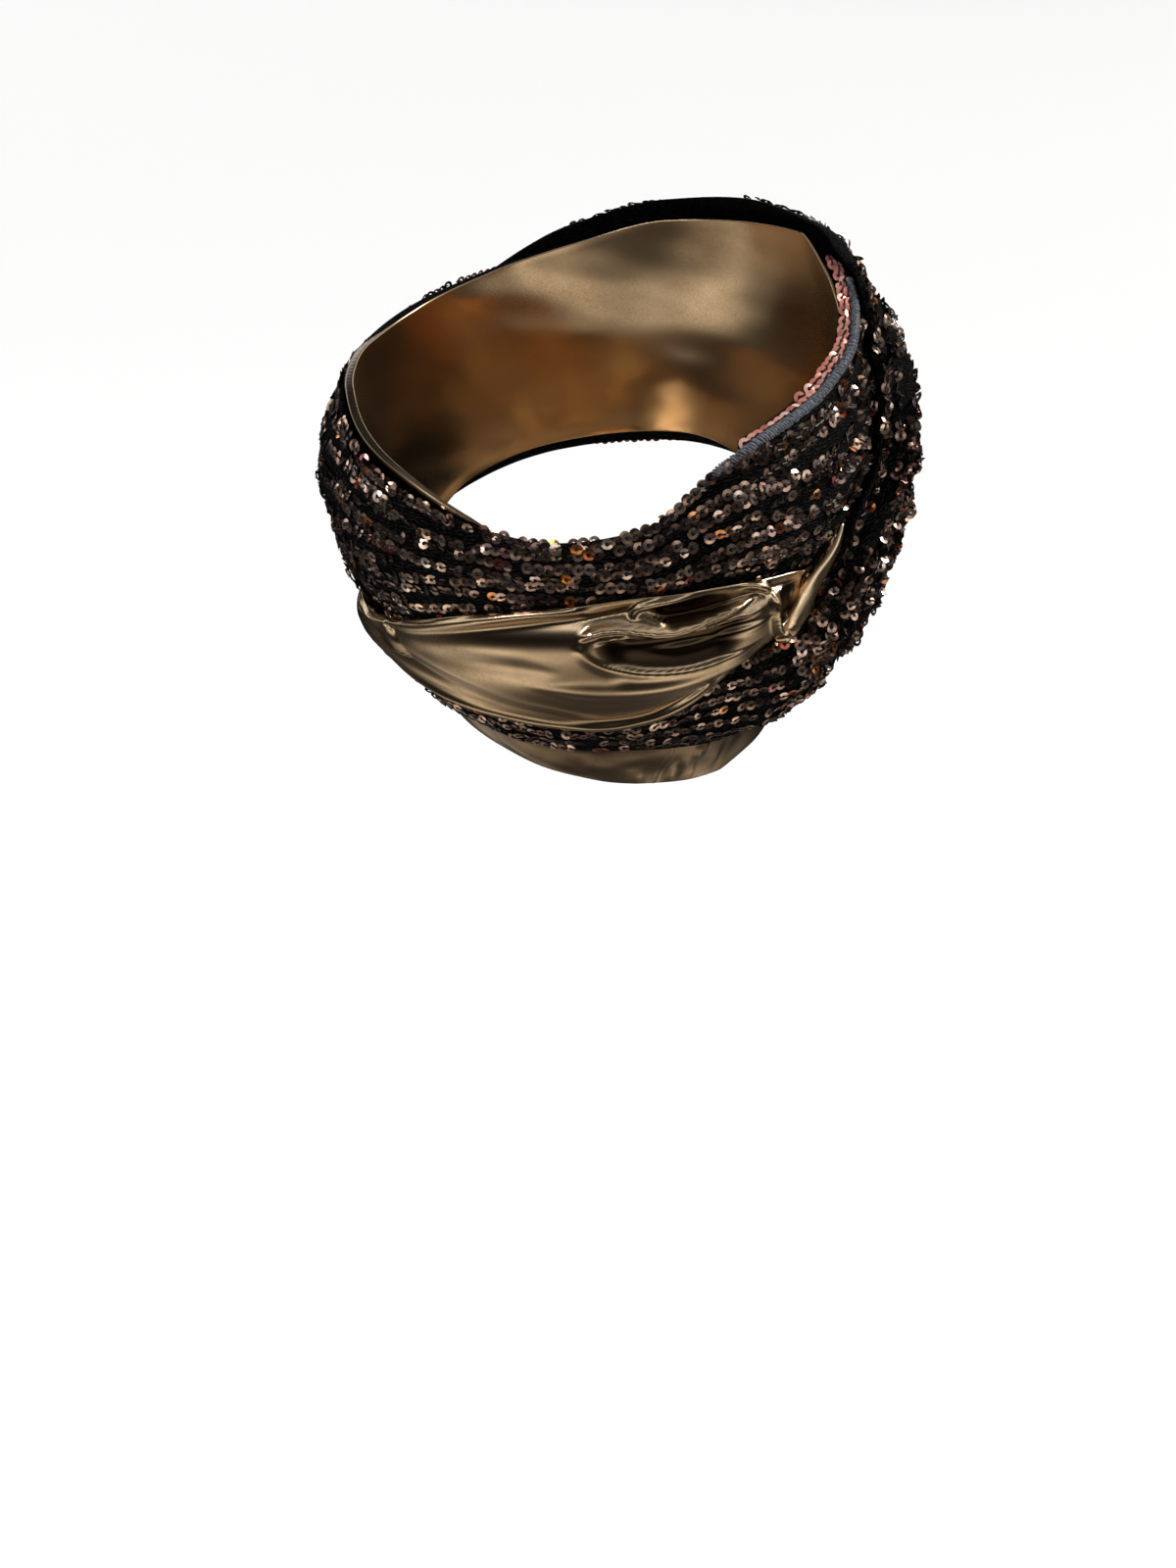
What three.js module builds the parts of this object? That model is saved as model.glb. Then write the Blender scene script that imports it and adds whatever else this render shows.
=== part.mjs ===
import * as THREE from 'three';

// Turban headwrap of sequin knit with a gold lining, in the form that it has when worn.
// Millimetres, +Z up. The wearer looks along -Y, so the back is at +Y and the wearer's right is -X.
// The origin is the middle of the hollow that the wrap closes round, level with the dip of the back edge.
// Angles run round the Z axis: 0 at the back, positive towards the wearer's right.

// The hollow that the wrap is worn round
const hollowWidth = 153;
const hollowBack = 92;
const hollowFront = 92;
const crownRise = 92;
const neckDrop = 110;

// The reach of the bands above and below the origin
const bandRise = 76;
const napeDrop = 98;

// Cloth, seams and the play between two layers
const liningWall = 1.0;
const sequinWall = 2.0;
const facingWall = 1.2;
const liningPlay = 0.5;
const layerPlay = 1.4;
const sewnPlay = 0.5;
const sideBulge = 21;
const edgeWidth = 2.8;
const edgeThickness = 2.2;
const facingDepth = 7;
const tuckDepth = 9;
const shoulder = 4;
const rollRadius = 4.6;

// Horizontal sections of the hollow. A height above 0 is a share of crownRise and one below it a
// share of neckDrop; the half width, back and front are shares of the hollow's own half sizes.
const hollowRows = [
  { height: -1.00, width: 0.66, back: 0.51, front: 0.72 },
  { height: -0.86, width: 0.69, back: 0.53, front: 0.82 },
  { height: -0.73, width: 0.75, back: 0.61, front: 0.88 },
  { height: -0.55, width: 0.84, back: 0.75, front: 0.93 },
  { height: -0.36, width: 0.91, back: 0.87, front: 0.96 },
  { height: -0.18, width: 0.97, back: 0.95, front: 0.99 },
  { height: 0.00, width: 0.99, back: 0.99, front: 1.00 },
  { height: 0.22, width: 1.00, back: 1.00, front: 0.97 },
  { height: 0.43, width: 0.97, back: 0.97, front: 0.89 },
  { height: 0.65, width: 0.86, back: 0.87, front: 0.75 },
  { height: 0.82, width: 0.72, back: 0.73, front: 0.59 },
  { height: 0.92, width: 0.56, back: 0.58, front: 0.43 },
  { height: 1.00, width: 0.35, back: 0.37, front: 0.27 },
];

// Edges of the bands round the hollow: a value above 0 is a share of bandRise and one below it a
// share of napeDrop. Hem and inner are the lining's two edges, under and over the lower band's,
// low and high the upper band's.
const edgeRows = [
  { angle: -180, hem: -0.14, inner: 0.88, under: -0.18, over: 0.97, low: 0.10, high: 0.86 },
  { angle: -150, hem: -0.17, inner: 0.76, under: -0.21, over: 0.84, low: 0.00, high: 0.76 },
  { angle: -120, hem: -0.25, inner: 0.62, under: -0.28, over: 0.52, low: -0.10, high: 0.62 },
  { angle: -90, hem: -0.42, inner: 0.50, under: -0.37, over: 0.10, low: -0.24, high: 0.50 },
  { angle: -70, hem: -0.58, inner: 0.46, under: -0.43, over: -0.22, low: -0.36, high: 0.42 },
  { angle: -50, hem: -0.75, inner: 0.39, under: -0.49, over: -0.38, low: -0.42, high: 0.33 },
  { angle: -35, hem: -0.85, inner: 0.29, under: -0.62, over: -0.46, low: -0.42, high: 0.23 },
  { angle: -20, hem: -0.90, inner: 0.20, under: -0.74, over: -0.50, low: -0.36, high: 0.14 },
  { angle: -5, hem: -0.94, inner: 0.08, under: -0.79, over: -0.53, low: -0.28, high: 0.07 },
  { angle: 10, hem: -0.96, inner: -0.06, under: -0.79, over: -0.54, low: -0.24, high: 0.02 },
  { angle: 25, hem: -0.98, inner: 0.00, under: -0.79, over: -0.52, low: -0.24, high: 0.06 },
  { angle: 40, hem: -0.99, inner: 0.20, under: -0.80, over: -0.46, low: -0.25, high: 0.27 },
  { angle: 55, hem: -1.00, inner: 0.30, under: -0.81, over: -0.42, low: -0.26, high: 0.37 },
  { angle: 64, hem: -1.00, inner: 0.35, under: -0.80, over: -0.37, low: -0.27, high: 0.42 },
  { angle: 71, hem: -0.98, inner: 0.40, under: -0.78, over: -0.20, low: -0.28, high: 0.47 },
  { angle: 76, hem: -0.96, inner: 0.43, under: -0.75, over: -0.04, low: -0.28, high: 0.50 },
  { angle: 83, hem: -0.93, inner: 0.48, under: -0.71, over: 0.14, low: -0.27, high: 0.55 },
  { angle: 90, hem: -0.87, inner: 0.56, under: -0.66, over: 0.58, low: -0.24, high: 0.62 },
  { angle: 105, hem: -0.73, inner: 0.80, under: -0.52, over: 0.84, low: -0.10, high: 0.74 },
  { angle: 120, hem: -0.57, inner: 0.90, under: -0.40, over: 0.94, low: 0.00, high: 0.84 },
  { angle: 150, hem: -0.28, inner: 0.90, under: -0.25, over: 1.00, low: 0.08, high: 0.86 },
];

// How far the inner faces stand off the hollow, as shares of sideBulge: each sequin band's halfway
// between its edges, and the lining's at its hem
const reachRows = [
  { angle: -180, upper: 0.27, lower: 0.55, hem: 0.00 },
  { angle: -110, upper: 0.38, lower: 0.58, hem: 0.00 },
  { angle: -60, upper: 0.56, lower: 0.34, hem: 0.00 },
  { angle: -30, upper: 0.34, lower: 0.28, hem: 0.00 },
  { angle: 10, upper: 0.21, lower: 0.24, hem: 0.05 },
  { angle: 45, upper: 0.34, lower: 0.40, hem: 0.08 },
  { angle: 70, upper: 0.48, lower: 0.90, hem: 0.12 },
  { angle: 90, upper: 0.50, lower: 1.08, hem: 0.24 },
  { angle: 110, upper: 0.40, lower: 0.82, hem: 0.20 },
  { angle: 135, upper: 0.30, lower: 0.60, hem: 0.10 },
];

// Pleats that run along the sequin bands, from one angle to another: across is the place between
// the band's lower edge, 0, and its upper edge, 1, depth a share of sideBulge, width of the band.
const upperPleats = [
  { from: -150, to: 20, acrossFrom: 0.40, acrossTo: 0.62, depth: -0.13, width: 0.10 },
  { from: -130, to: -10, acrossFrom: 0.72, acrossTo: 0.80, depth: -0.06, width: 0.08 },
  { from: 15, to: 130, acrossFrom: 0.45, acrossTo: 0.62, depth: -0.09, width: 0.09 },
  { from: 40, to: 140, acrossFrom: 0.22, acrossTo: 0.34, depth: -0.08, width: 0.09 },
];
const lowerPleats = [
  { from: 45, to: 230, acrossFrom: 0.55, acrossTo: 0.78, depth: -0.17, width: 0.07 },
  { from: 60, to: 260, acrossFrom: 0.72, acrossTo: 0.55, depth: -0.15, width: 0.06 },
  { from: 50, to: 250, acrossFrom: 0.36, acrossTo: 0.36, depth: -0.15, width: 0.07 },
  { from: 70, to: 210, acrossFrom: 0.20, acrossTo: 0.18, depth: -0.12, width: 0.06 },
];

// The lining where it is turned out over the back: its two edges as shares like the bands' edges,
// and the reach of its inner face as a share of sideBulge
const leafRows = [
  { angle: -72, bottom: -0.50, top: -0.45, reach: 0.10 },
  { angle: -62, bottom: -0.53, top: -0.41, reach: 0.66 },
  { angle: -50, bottom: -0.55, top: -0.39, reach: 0.66 },
  { angle: -34, bottom: -0.58, top: -0.38, reach: 0.50 },
  { angle: -20, bottom: -0.62, top: -0.31, reach: 0.42 },
  { angle: -5, bottom: -0.65, top: -0.23, reach: 0.42 },
  { angle: 12, bottom: -0.66, top: -0.17, reach: 0.44 },
  { angle: 28, bottom: -0.63, top: -0.15, reach: 0.48 },
  { angle: 42, bottom: -0.52, top: -0.16, reach: 0.52 },
  { angle: 51, bottom: -0.44, top: -0.18, reach: 0.54 },
  { angle: 55.5, bottom: -0.41, top: -0.21, reach: 0.50 },
];

// Folds of the leaf: ridges stand out and pockets sink in, as shares of sideBulge
const leafFolds = [
  { from: -50, to: 10, acrossFrom: 0.90, acrossTo: 0.92, depth: 0.08, width: 0.07 },
  { from: 10, to: 57, acrossFrom: 0.62, acrossTo: 0.80, depth: 0.14, width: 0.07 },
  { from: 14, to: 57, acrossFrom: 0.82, acrossTo: 0.93, depth: -0.12, width: 0.06 },
  { from: 8, to: 57, acrossFrom: 0.48, acrossTo: 0.52, depth: -0.13, width: 0.12 },
  { from: -44, to: 50, acrossFrom: 0.20, acrossTo: 0.16, depth: -0.05, width: 0.10 },
];

// The rolled strip that climbs from the leaf's lower corner into the fold of the side
const rollRows = [
  { angle: 58.6, height: -0.38, size: 0.60 },
  { angle: 59.6, height: -0.33, size: 0.90 },
  { angle: 61.5, height: -0.25, size: 1.00 },
  { angle: 64.5, height: -0.17, size: 0.80 },
  { angle: 67.0, height: -0.10, size: 0.50 },
  { angle: 69.5, height: -0.04, size: 0.25 },
];

// Stretches of the smaller pieces, in degrees
const edgeSpan = { from: 17, to: 106 };
const facingSpan = { from: 44, to: 110 };

// Steps between the sections round the hollow, finer on the gathered side
const angleSteps = [
  { from: -180, to: -60, step: 8 },
  { from: -60, to: 50, step: 5 },
  { from: 50, to: 110, step: 3 },
  { from: 110, to: 180, step: 7 },
];

const fullTurn = 360;
const degree = Math.PI / 180;

// Facets of the pieces
const liningFacets = 6;
const wrapFacets = 11;
const leafFacets = 12;
const edgeFacets = 2;
const facingFacets = 3;
const rollSides = 10;
const rollSteps = 14;

function clamp(value, low, high) {
  return Math.min(high, Math.max(low, value));
}

function smoothStep(value) {
  const t = clamp(value, 0, 1);
  return t * t * (3 - 2 * t);
}

// A smooth curve through a table's rows that never swings past two neighbours
function rowCurve(rows, key, column, period) {
  const points = rows.map((row) => [row[key], row[column]]);
  if (period) {
    const last = points[points.length - 1];
    const first = points[0];
    points.unshift([last[0] - period, last[1]]);
    points.push([first[0] + period, first[1]], [points[2][0] + period, points[2][1]]);
  }
  const slopes = points.map((point, i) => {
    if (i === 0 || i === points.length - 1) return 0;
    const before = (point[1] - points[i - 1][1]) / (point[0] - points[i - 1][0]);
    const after = (points[i + 1][1] - point[1]) / (points[i + 1][0] - point[0]);
    return before * after <= 0 ? 0 : (2 * before * after) / (before + after);
  });
  return (value) => {
    let x = value;
    if (period) {
      while (x >= rows[0][key] + period) x -= period;
      while (x < rows[0][key]) x += period;
    }
    x = clamp(x, points[0][0], points[points.length - 1][0]);
    let i = 0;
    while (i < points.length - 2 && x > points[i + 1][0]) i += 1;
    const span = points[i + 1][0] - points[i][0];
    const t = (x - points[i][0]) / span;
    const rise = smoothStep(t);
    const lift = t * (1 - t) * (1 - t) * slopes[i] * span - t * t * (1 - t) * slopes[i + 1] * span;
    return points[i][1] + (points[i + 1][1] - points[i][1]) * rise + lift;
  };
}

function ringCurve(rows, column) {
  return rowCurve(rows, 'angle', column, fullTurn);
}

// A height from its share of the bands' rise or of their drop
function bandHeight(share) {
  return share > 0 ? share * bandRise : share * napeDrop;
}

const hollowHeights = hollowRows.map((row) => ({
  ...row,
  level: row.height * (row.height > 0 ? crownRise : neckDrop),
}));
const widthAt = rowCurve(hollowHeights, 'level', 'width');
const backAt = rowCurve(hollowHeights, 'level', 'back');
const frontAt = rowCurve(hollowHeights, 'level', 'front');

// Distance from the Z axis to the hollow's wall
function hollowRadius(angle, z) {
  const across = Math.sin(angle * degree) / ((widthAt(z) * hollowWidth) / 2);
  const along = Math.cos(angle * degree);
  const depth = along > 0 ? backAt(z) * hollowBack : frontAt(z) * hollowFront;
  return 1 / Math.hypot(across, along / depth);
}

// The sum of the pleats' depths at one place of a band
function pleatDepth(pleats, angle, across) {
  let sum = 0;
  for (const pleat of pleats) {
    let place = angle;
    if (place < pleat.from) place += fullTurn;
    const along = (place - pleat.from) / (pleat.to - pleat.from);
    if (along <= 0 || along >= 1) continue;
    const centre = pleat.acrossFrom + (pleat.acrossTo - pleat.acrossFrom) * along;
    const fade = smoothStep(along * 5) * smoothStep((1 - along) * 5);
    const side = (across - centre) / pleat.width;
    sum += pleat.depth * sideBulge * fade * Math.exp(-side * side);
  }
  return sum;
}

// A band of cloth: its edges and its two faces, as distances from the hollow's wall
function band({ bottom, top, base, reach, pleats = [], wall }) {
  const inner = (angle, z) => {
    const across = clamp((z - bottom(angle)) / (top(angle) - bottom(angle)), 0, 1);
    const round = 1 - Math.abs(2 * across - 1) ** 3;
    return Math.max(base(angle, z), (reach(angle) + pleatDepth(pleats, angle, across)) * round);
  };
  const outer = (angle, z) => {
    const step = 1;
    const above = hollowRadius(angle, z + step) + inner(angle, z + step);
    const below = hollowRadius(angle, z - step) + inner(angle, z - step);
    const slope = clamp((above - below) / (2 * step), -2, 2);
    return inner(angle, z) + wall * Math.hypot(1, slope);
  };
  return { bottom, top, inner, outer };
}

// How far a layer stands out where it lies under another: level for a shoulder's width past its
// edges, then fading
function cover(layer, angle, z, play = layerPlay) {
  const bottom = layer.bottom(angle);
  const top = layer.top(angle);
  const inside = clamp(z, bottom, top);
  const away = Math.abs(z - inside);
  const fade = 1 - smoothStep((away - shoulder) / tuckDepth);
  return (layer.outer(angle, inside) + play) * fade;
}

// The highest of several layers, where another lies over them all
function coverAll(layers, angle, z, play = layerPlay) {
  return Math.max(...layers.map((layer) => cover(layer, angle, z, play)));
}

function pointAt(angle, z, distance) {
  const radius = hollowRadius(angle, z) + distance;
  return [-radius * Math.sin(angle * degree), radius * Math.cos(angle * degree), z];
}

// A closed body from rings of points, each ring a closed loop; the first and last ring are
// joined, or each is capped by strips between its two faces
function ringBody(rings, closed) {
  const count = rings[0].length;
  const positions = rings.flat(2);
  const indices = [];
  const quad = (a, b, c, d) => indices.push(a, c, b, a, d, c);
  const last = closed ? rings.length : rings.length - 1;
  for (let i = 0; i < last; i += 1) {
    const next = ((i + 1) % rings.length) * count;
    for (let j = 0; j < count; j += 1) {
      const k = (j + 1) % count;
      quad(i * count + j, i * count + k, next + k, next + j);
    }
  }
  if (!closed) {
    const end = (rings.length - 1) * count;
    for (let j = 0; j < count / 2 - 1; j += 1) {
      quad(j, count - 1 - j, count - 2 - j, j + 1);
      quad(end + j, end + j + 1, end + count - 2 - j, end + count - 1 - j);
    }
  }
  const geometry = new THREE.BufferGeometry();
  geometry.setAttribute('position', new THREE.Float32BufferAttribute(positions, 3));
  geometry.setIndex(indices);
  geometry.computeVertexNormals();
  return geometry;
}

// The angles of the sections between two angles, or all round
function sectionAngles(from, to) {
  const angles = [];
  for (const stretch of angleSteps) {
    const steps = Math.round((stretch.to - stretch.from) / stretch.step);
    for (let i = 0; i < steps; i += 1) {
      angles.push(stretch.from + ((stretch.to - stretch.from) * i) / steps);
    }
  }
  if (from === undefined) return angles;
  const margin = 1;
  return [from, ...angles.filter((angle) => angle > from + margin && angle < to - margin), to];
}

// One band's closed body: up the outer face and down the inner one, round the hollow
function bandBody(layer, rows, angles, closed) {
  const rings = angles.map((angle) => {
    const bottom = layer.bottom(angle);
    const top = layer.top(angle);
    const ring = [];
    for (let i = 0; i <= rows; i += 1) {
      const share = i / rows;
      const z = bottom + (top - bottom) * (0.6 * share + 0.4 * smoothStep(share));
      ring.push({ z, outer: layer.outer(angle, z), inner: layer.inner(angle, z) });
    }
    const outside = ring.map((place) => pointAt(angle, place.z, place.outer));
    const inside = ring.map((place) => pointAt(angle, place.z, place.inner)).reverse();
    return [...outside, ...inside];
  });
  return ringBody(rings, closed);
}

const edge = {};
for (const column of ['hem', 'inner', 'under', 'over', 'low', 'high']) {
  const share = ringCurve(edgeRows, column);
  edge[column] = (angle) => bandHeight(share(angle));
}
const upperReach = ringCurve(reachRows, 'upper');
const lowerReach = ringCurve(reachRows, 'lower');
const hemReach = ringCurve(reachRows, 'hem');

const lining = band({
  bottom: edge.hem,
  top: edge.inner,
  base: (angle, z) => liningPlay + hemReach(angle) * sideBulge * smoothStep(-z / napeDrop),
  reach: () => 0,
  wall: liningWall,
});

// The facing is the upper band's own cloth, turned in beside the hollow
const facing = band({
  bottom: (angle) => edge.high(angle) - facingDepth,
  top: (angle) => edge.high(angle) + 0.2 * edgeWidth,
  base: (angle, z) => Math.max(cover(lining, angle, z, sewnPlay), liningPlay),
  reach: () => 0,
  wall: facingWall,
});

function facingShare(angle) {
  const margin = 12;
  return smoothStep((angle - facingSpan.from + margin) / margin)
    * smoothStep((facingSpan.to + margin - angle) / margin);
}

const upper = band({
  bottom: edge.low,
  top: edge.high,
  base: (angle) => liningPlay + 1.6 * liningWall + layerPlay + facingShare(angle) * 2 * facingWall,
  reach: (angle) => upperReach(angle) * sideBulge,
  pleats: upperPleats,
  wall: sequinWall,
});

// The overlocked edge sits on the upper band's edge
const overlock = {
  bottom: (angle) => edge.high(angle) + layerPlay / 2,
  top: (angle) => edge.high(angle) + layerPlay / 2 + edgeWidth,
  inner: (angle) => upper.inner(angle, edge.high(angle)),
  outer: (angle) => upper.inner(angle, edge.high(angle)) + edgeThickness,
};

const lower = band({
  bottom: edge.under,
  top: edge.over,
  base: (angle, z) => Math.max(coverAll([lining, upper, overlock], angle, z), 2 * liningWall),
  reach: (angle) => lowerReach(angle) * sideBulge,
  pleats: lowerPleats,
  wall: sequinWall,
});

const leafBottom = rowCurve(leafRows, 'angle', 'bottom');
const leafTop = rowCurve(leafRows, 'angle', 'top');
const leafReach = rowCurve(leafRows, 'angle', 'reach');

const leaf = band({
  bottom: (angle) => bandHeight(leafBottom(angle)),
  top: (angle) => bandHeight(leafTop(angle)),
  base: (angle, z) => coverAll([lining, upper, lower], angle, z),
  reach: (angle) => leafReach(angle) * sideBulge,
  pleats: leafFolds,
  wall: liningWall,
});

// The rolled strip: round sections along its own path
function rollBody() {
  const height = rowCurve(rollRows, 'angle', 'height');
  const size = rowCurve(rollRows, 'angle', 'size');
  const first = rollRows[0].angle;
  const last = rollRows[rollRows.length - 1].angle;
  const centres = [];
  const radii = [];
  for (let i = 0; i <= rollSteps; i += 1) {
    const angle = first + ((last - first) * i) / rollSteps;
    const z = bandHeight(height(angle));
    const radius = size(angle) * rollRadius;
    const turn = radius / hollowRadius(angle, z) / degree;
    const places = [[angle - turn, z], [angle, z + radius], [angle, z - radius], [angle, z]];
    const under = [lining, upper, lower];
    const seat = Math.max(...places.map((place) => coverAll(under, ...place, sewnPlay)));
    centres.push(new THREE.Vector3(...pointAt(angle, z, seat + radius)));
    radii.push(radius);
  }
  const path = new THREE.CatmullRomCurve3(centres);
  const frames = path.computeFrenetFrames(rollSteps);
  const rings = centres.map((centre, i) => {
    const ring = [];
    for (let j = 0; j < rollSides; j += 1) {
      const turn = (-2 * Math.PI * (j + 0.5)) / rollSides;
      const point = centre.clone()
        .addScaledVector(frames.normals[i], Math.cos(turn) * radii[i])
        .addScaledVector(frames.binormals[i], Math.sin(turn) * radii[i]);
      ring.push(point.toArray());
    }
    return ring;
  });
  return ringBody(rings, false);
}

const finishes = {
  sequin: { color: 0x2a1d18, roughness: 0.45, metalness: 0.35 },
  gold: { color: 0x9a8250, roughness: 0.28, metalness: 0.85 },
  thread: { color: 0x2b2d31, roughness: 0.85, metalness: 0.0 },
};

const leafAngles = sectionAngles(leafRows[0].angle, leafRows[leafRows.length - 1].angle);
const edgeAngles = sectionAngles(edgeSpan.from, edgeSpan.to);
const facingAngles = sectionAngles(facingSpan.from, facingSpan.to);

const group = new THREE.Group();
function addPiece(name, geometry, finish) {
  const piece = new THREE.Mesh(geometry, new THREE.MeshStandardMaterial(finishes[finish]));
  piece.name = name;
  group.add(piece);
}

addPiece('lining_band', bandBody(lining, liningFacets, sectionAngles(), true), 'gold');
addPiece('upper_wrap', bandBody(upper, wrapFacets, sectionAngles(), true), 'sequin');
addPiece('lower_wrap', bandBody(lower, wrapFacets, sectionAngles(), true), 'sequin');
addPiece('gold_leaf', bandBody(leaf, leafFacets, leafAngles, false), 'gold');
addPiece('gold_roll', rollBody(), 'gold');
addPiece('serged_edge', bandBody(overlock, edgeFacets, edgeAngles, false), 'thread');
addPiece('sequin_facing', bandBody(facing, facingFacets, facingAngles, false), 'sequin');

export default group;
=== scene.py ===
import math
import bpy
import numpy as np
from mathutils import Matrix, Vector


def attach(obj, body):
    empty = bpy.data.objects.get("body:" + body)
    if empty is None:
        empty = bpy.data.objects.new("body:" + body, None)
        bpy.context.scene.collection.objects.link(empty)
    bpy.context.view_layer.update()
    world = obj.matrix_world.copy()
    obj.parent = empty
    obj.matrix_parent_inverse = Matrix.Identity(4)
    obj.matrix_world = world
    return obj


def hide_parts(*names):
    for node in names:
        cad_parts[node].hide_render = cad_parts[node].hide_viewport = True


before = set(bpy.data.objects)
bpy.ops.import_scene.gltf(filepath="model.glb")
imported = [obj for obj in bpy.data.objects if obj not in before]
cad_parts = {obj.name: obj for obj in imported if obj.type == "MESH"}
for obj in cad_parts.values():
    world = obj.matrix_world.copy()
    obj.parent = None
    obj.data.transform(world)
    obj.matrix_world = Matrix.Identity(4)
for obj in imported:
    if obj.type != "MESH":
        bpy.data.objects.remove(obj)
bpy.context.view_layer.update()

# Metres and degrees. The wearer looks along -Y, so the back is at +Y and the wearer's right is -X.
# Angles run round Z: 0 at the back, growing towards the wearer's right. Every cloth is a relief
# over the hollow that it is worn round: a distance outwards for each angle and height.

mm = 0.001
degree = math.pi / 180

hollow = {
    "width": 0.153, "back": 0.092, "front": 0.092, "rise": 0.092, "drop": 0.110,
    "rows": {
        "height": (-1.00, -0.86, -0.73, -0.55, -0.36, -0.18, 0.00, 0.22, 0.43, 0.65, 0.82, 0.92, 1.00),
        "width": (0.66, 0.69, 0.75, 0.84, 0.91, 0.97, 0.99, 1.00, 0.97, 0.86, 0.72, 0.56, 0.35),
        "back": (0.51, 0.53, 0.61, 0.75, 0.87, 0.95, 0.99, 1.00, 0.97, 0.87, 0.73, 0.58, 0.37),
        "front": (0.72, 0.82, 0.88, 0.93, 0.96, 0.99, 1.00, 0.97, 0.89, 0.75, 0.59, 0.43, 0.27),
    },
}

cloth = {
    "bandRise": 0.076, "napeDrop": 0.098, "sideBulge": 0.021,
    "liningWall": 1.0 * mm, "sequinWall": 2.0 * mm, "facingWall": 1.2 * mm,
    "liningPlay": 0.5 * mm, "layerPlay": 1.4 * mm, "sewnPlay": 0.5 * mm,
    "shoulder": 4 * mm, "tuck": 9 * mm,
}

# Shares of bandRise above 0 and of napeDrop below it: the lining's hem and inner edge, the lower
# band's under and over edge, the upper band's low and high edge
edgeRows = {
    "angle": (-180, -150, -120, -90, -70, -50, -35, -20, -5, 10, 25, 40, 55, 64, 71, 76, 83, 90,
              105, 120, 150),
    "hem": (-0.14, -0.17, -0.25, -0.42, -0.58, -0.75, -0.85, -0.90, -0.94, -0.96, -0.98, -0.99,
            -1.00, -1.00, -0.98, -0.96, -0.93, -0.87, -0.73, -0.57, -0.28),
    "inner": (0.88, 0.76, 0.62, 0.50, 0.46, 0.39, 0.29, 0.20, 0.08, -0.06, 0.00, 0.20, 0.30, 0.35,
              0.40, 0.43, 0.48, 0.56, 0.80, 0.90, 0.90),
    "under": (-0.18, -0.21, -0.28, -0.37, -0.43, -0.49, -0.62, -0.74, -0.79, -0.79, -0.79, -0.80,
              -0.81, -0.80, -0.78, -0.75, -0.71, -0.66, -0.52, -0.40, -0.25),
    "over": (0.97, 0.84, 0.52, 0.10, -0.22, -0.38, -0.46, -0.50, -0.53, -0.54, -0.52, -0.46,
             -0.42, -0.37, -0.20, -0.04, 0.14, 0.58, 0.84, 0.94, 1.00),
    "low": (0.10, 0.00, -0.10, -0.24, -0.36, -0.42, -0.42, -0.36, -0.28, -0.24, -0.24, -0.25,
            -0.26, -0.27, -0.28, -0.28, -0.27, -0.24, -0.10, 0.00, 0.08),
    "high": (0.86, 0.76, 0.62, 0.50, 0.42, 0.33, 0.23, 0.14, 0.07, 0.02, 0.06, 0.27, 0.37, 0.42,
             0.47, 0.50, 0.55, 0.62, 0.74, 0.84, 0.86),
}

# How far each cloth stands off the hollow halfway between its edges, in shares of sideBulge
reachRows = {
    "angle": (-180, -110, -60, -30, 10, 45, 70, 90, 110, 135),
    "upper": (0.27, 0.38, 0.56, 0.34, 0.21, 0.34, 0.48, 0.50, 0.40, 0.30),
    "lower": (0.55, 0.58, 0.34, 0.28, 0.24, 0.40, 0.90, 1.08, 0.82, 0.60),
    "hem": (0.00, 0.00, 0.00, 0.00, 0.05, 0.08, 0.12, 0.24, 0.20, 0.10),
}

# The grid that every relief is worked out on
grid = {"angleStep": 0.5, "heightStep": 0.5 * mm, "lowest": -0.108, "highest": 0.088}
gridAngles = np.arange(-180, 180, grid["angleStep"])
gridHeights = np.arange(grid["lowest"], grid["highest"], grid["heightStep"])
angleAt, heightAt = np.meshgrid(gridAngles, gridHeights, indexing="ij")
allColumns = np.arange(len(gridAngles))


def smoothStep(value):
    t = np.clip(value, 0, 1)
    return t * t * (3 - 2 * t)


def betweenFour(a, b, c, d, t):
    # the Catmull-Rom curve from b to c
    return 0.5 * (2 * b + (c - a) * t + (2 * a - 5 * b + 4 * c - d) * t * t
                  + (3 * b - a - 3 * c + d) * t ** 3)


def unit(ways):
    return ways / np.linalg.norm(ways, axis=-1)[..., None]


def rowCurve(places, values, period=None):
    # a smooth curve through a table's rows that never swings past two neighbours
    x = np.array(places, float)
    y = np.array(values, float)
    start = x[0]
    if period:
        x = np.concatenate([[x[-1] - period], x, x[:2] + period])
        y = np.concatenate([[y[-1]], y, y[:2]])
    steps = np.diff(y) / np.diff(x)
    slopes = np.zeros(len(x))
    before, after = steps[:-1], steps[1:]
    same = before * after > 0
    slopes[1:-1][same] = (2 * before * after)[same] / (before + after)[same]

    def curve(at):
        place = np.asarray(at, float)
        if period:
            place = (place - start) % period + start
        place = np.clip(place, x[0], x[-1])
        i = np.clip(np.searchsorted(x, place, side="right") - 1, 0, len(x) - 2)
        span = x[i + 1] - x[i]
        t = (place - x[i]) / span
        lift = t * (1 - t) ** 2 * slopes[i] * span - t * t * (1 - t) * slopes[i + 1] * span
        return y[i] + (y[i + 1] - y[i]) * smoothStep(t) + lift

    return curve


def fullTurn(sides):
    return np.linspace(0, 2 * math.pi, sides, endpoint=False)


def fadeBetween(start, end, rise, fall):
    # 0 outside two angles and 1 between them, with its own width of fade at each
    return smoothStep((gridAngles - start) / rise) * smoothStep((end - gridAngles) / fall)


def bandHeight(share):
    share = np.asarray(share, float)
    return np.where(share > 0, share * cloth["bandRise"], share * cloth["napeDrop"])


def ringColumn(rows, column, period=360):
    return rowCurve(rows["angle"], rows[column], period)(gridAngles)


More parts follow.
